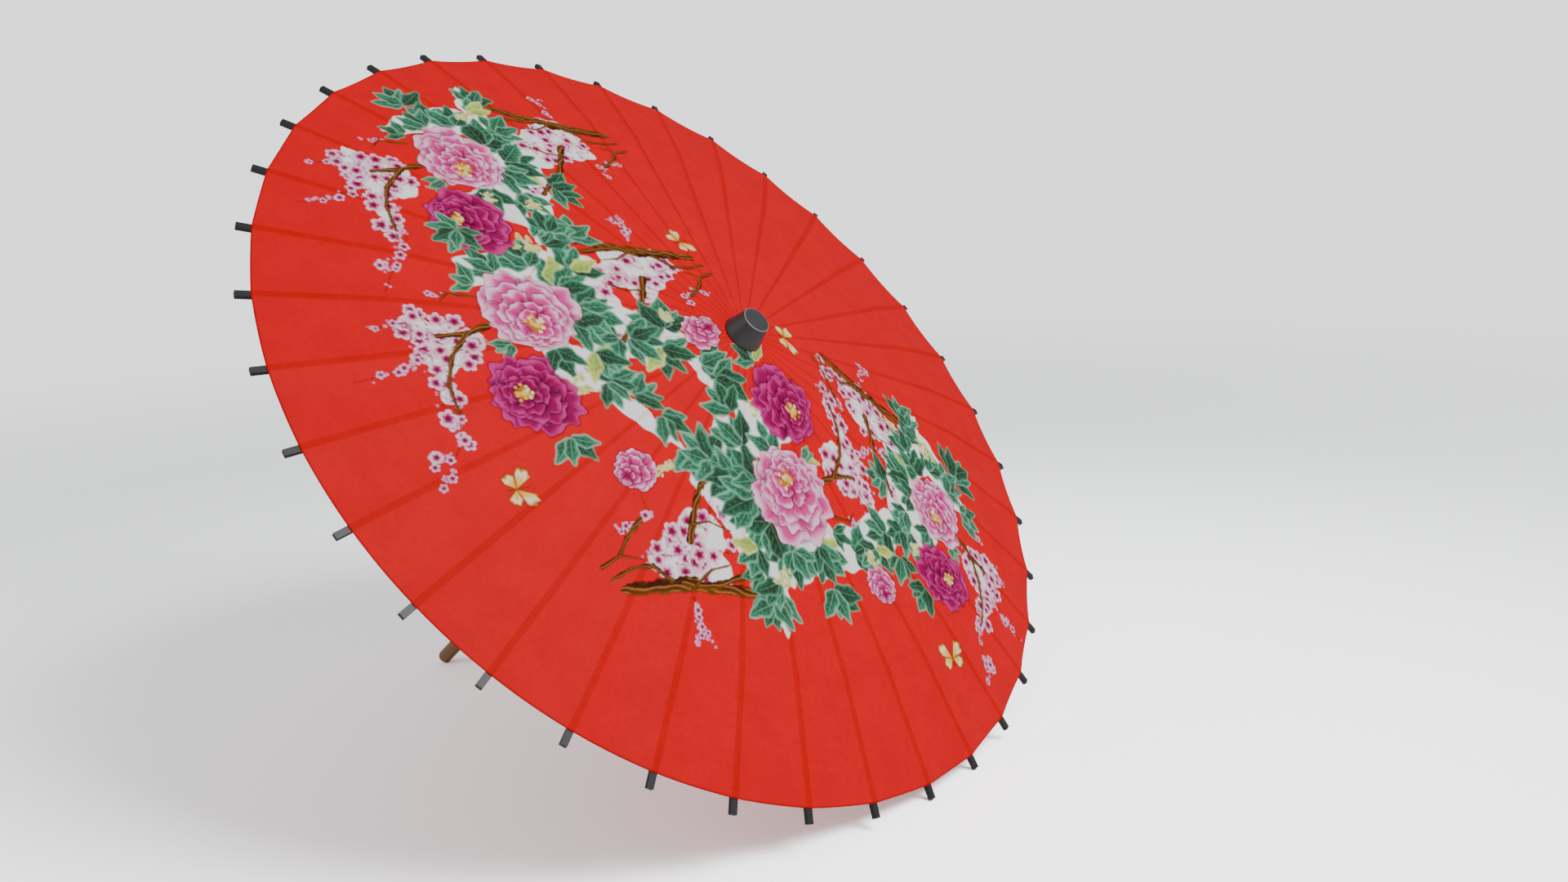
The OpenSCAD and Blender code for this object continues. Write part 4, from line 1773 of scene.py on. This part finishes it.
@dataclass
class TurnedCap:
    """The cap over the ribs' roots, with a fine bevel and a slightly domed top."""

    axes: UmbrellaAxes
    rack: FinishRack
    base_r: float = 18.7
    top_r: float = 13.0
    height: float = 22.0
    foot_gap: float = 0.2
    lip: float = 1.2
    hollow: float = 0.35
    bevel: float = 1.2
    sides: int = 96

    def build(self) -> None:
        """Makes the cap."""
        foot = float(SIZES.paper_height(np.array(self.base_r))) + self.foot_gap
        top = foot - self.foot_gap + self.height
        side = self.top_r + (self.base_r - self.top_r) * self.bevel / self.height
        bm = bmesh.new()
        lathe(bm, self.profile(foot, top, side), self.sides)
        # Marks the top bevel, where the lacquer lays a painted highlight
        edge_highlight = bm.verts.layers.float.new("edge_highlight")
        low, inner = top - 0.5 * self.bevel, side - 0.7 * self.bevel
        for vert in bm.verts:
            vert[edge_highlight] = 0.8 * (vert.co.z > low and vert.co.xy.length > inner)
        bmesh.ops.transform(bm, matrix=self.axes.matrix, verts=bm.verts)
        piece = hang(bm, "cap_shell", [self.rack.cap], 60.0)
        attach(piece, "frame")
        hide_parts("top_cap")
        LOG.info("%s: %d faces", piece.name, len(piece.data.polygons))

    def profile(self, foot: float, top: float, side: float) -> list:
        """The cap's outline, from the middle of its underside to the middle of its top.

        Args:
            foot: The height of its foot.
            top: The height of its top.
            side: Its radius just under the bevel.

        Returns:
            Points of radius and height.
        """
        shoulder, rim = foot + self.lip, top - self.bevel
        points = [(0, foot + 4), (self.base_r - 2.4, foot + 0.6), (self.base_r - 0.6, foot)]
        points += [(self.base_r, foot + 0.5), (self.base_r - 0.1, shoulder)]
        for share in (k / 6 for k in range(1, 6)):
            r = self.base_r + (side - self.base_r) * share - self.hollow * math.sin(math.pi * share)
            points.append((r, shoulder + (rim - shoulder) * share))
        for turn in (math.pi / 8 * k for k in range(5)):
            r = side - self.bevel + self.bevel * math.cos(turn)
            points.append((r, rim + self.bevel * math.sin(turn) * 0.85))
        return points + [(side * 0.55, top - 0.1), (0, top)]


@dataclass
class WoodAndWire:
    """The CAD pieces that keep their shape and take a better finish."""

    rack: FinishRack

    def dress(self) -> None:
        """Gives each kept CAD node its finish."""
        finishes = {
            "pole": self.rack.pole, "top_hub": self.rack.turned, "runner": self.rack.turned,
            "hub_nail": self.rack.pin, "latch_nail": self.rack.pin, "latch": self.rack.pin,
            "hub_wire": self.rack.brass, "runner_wire": self.rack.brass,
        }
        finishes.update({rib_name(i): self.rack.rib for i in range(SIZES.rib_count)})
        for name, material in finishes.items():
            node = frame["nodes"][name]
            node.data.materials.clear()
            node.data.materials.append(material)
            LOG.info("%s: %s", name, material.name)


@dataclass(frozen=True)
class SoftLight:
    """A soft square light, in metres and watts."""

    name: str
    place: tuple
    target: tuple
    size: float
    power: float

    def build(self) -> None:
        """Hangs the light and points it at its target."""
        lamp = bpy.data.lights.new(self.name, "AREA")
        lamp.size, lamp.energy = self.size, self.power
        holder = bpy.data.objects.new(self.name, lamp)
        holder.location = self.place
        away = Vector(self.place) - Vector(self.target)
        holder.rotation_euler = away.to_track_quat("Z", "Y").to_euler()
        bpy.context.scene.collection.objects.link(holder)


@dataclass
class Studio:
    """The pale floor, the soft lights and the camera, in metres, watts and degrees."""

    lights: tuple = (
        SoftLight("key", (2.2, 0.1, 2.6), (0.0, 0.0, 0.25), 1.6, 98.0),
        SoftLight("fill", (-1.6, -2.4, 1.6), (0.0, 0.0, 0.3), 2.4, 20.0),
    )
    sky_light: tuple = (0.30, 0.303, 0.306)
    backdrop: tuple = (1.72, 1.75, 1.76)
    floor_r: float = 60.0
    # Painted light on the floor for the camera: a brighter pool near the umbrella, fainter further out
    near_painted_light: tuple = (3.6, 3.7, 3.72)
    far_painted_light: tuple = (2.1, 2.16, 2.18)
    painted_light_fade: tuple = (0.2, 1.6)
    backdrop_fade: tuple = (0.7, 3.2)
    lens_mm: float = 36.549
    camera_place: tuple = (0.97308, -1.09947, 0.56913)
    camera_turn: tuple = (78.311, 2.582, 36.090)

    def build(self) -> None:
        """Makes the floor, the lights, the sky and the camera."""
        self.floor()
        for light in self.lights:
            light.build()
        self.sky()
        self.camera()

    def sky(self) -> None:
        """Makes the sky: a pale backdrop to the camera, and a softer light to the umbrella."""
        world = bpy.data.worlds.new("sky")
        bpy.context.scene.world = world
        world.use_nodes = True
        graph = Graph(world.node_tree)
        seen = graph.add("LightPath").outputs["Is Camera Ray"]
        sky = graph.add("Background", {"Color": graph.blend(seen, self.sky_light, self.backdrop)})
        graph.add("OutputWorld", {"Surface": sky.outputs[0]})

    def floor(self) -> None:
        """Makes the floor, with painted light that makes it brightest around the umbrella, fading into the
        sky.
        """
        bm = bmesh.new()
        bmesh.ops.create_circle(bm, cap_ends=True, radius=self.floor_r, segments=96)
        finish = Finish("pale_floor")
        graph = finish.graph
        place = graph.add("TexCoord").outputs["Object"]
        reach = graph.add("VectorMath", {0: place}, operation="LENGTH").outputs["Value"]
        noise = graph.add("TexNoise", {"Vector": place, "Scale": 90.0, "Detail": 3.0}).outputs["Fac"]
        pale = graph.blend(noise, linear(238, 238, 240), linear(246, 246, 247))
        seen = graph.add("LightPath").outputs["Is Camera Ray"]
        # Painted pool of light: camera rays see the floor brighter near the umbrella than further out
        lift = graph.blend(graph.ramp(reach, *self.painted_light_fade), self.near_painted_light, self.far_painted_light)
        lit = graph.blend(1.0, pale, graph.blend(seen, (1.0, 1.0, 1.0), lift), "MULTIPLY")
        ground = graph.add("BsdfDiffuse", {"Color": lit, "Normal": finish.bump(noise, 0.05, 0.05)})
        glow = graph.add("Emission", {"Color": self.backdrop})
        far = graph.math("MULTIPLY", graph.ramp(reach, *self.backdrop_fade), seen)
        shader = graph.add("MixShader", {0: far, 1: ground.outputs[0], 2: glow.outputs[0]})
        material = finish.close(shader.outputs[0])
        hang(bm, "floor", [material])

    def camera(self) -> None:
        """Sets the camera."""
        lens = bpy.data.cameras.new("view")
        lens.lens, lens.sensor_width = self.lens_mm, 36.0
        holder = bpy.data.objects.new("view", lens)
        holder.location = self.camera_place
        holder.rotation_euler = [math.radians(turn) for turn in self.camera_turn]
        bpy.context.scene.collection.objects.link(holder)
        bpy.context.scene.camera = holder


def main() -> None:
    """Builds and dresses the umbrella, and sets up its studio."""
    logging.basicConfig(level=logging.INFO, format="%(message)s")
    axes = UmbrellaAxes(frame["joints"])
    rack = FinishRack(axes)
    Studio().build()
    WoodAndWire(rack).dress()
    TurnedCap(axes, rack).build()
    StretcherSet(axes, rack).build()
    RimThread(axes, rack).build()
    PaintedCanopy(axes, rack, CanopyPainting()).build()


if __name__ == "__main__":
    main()
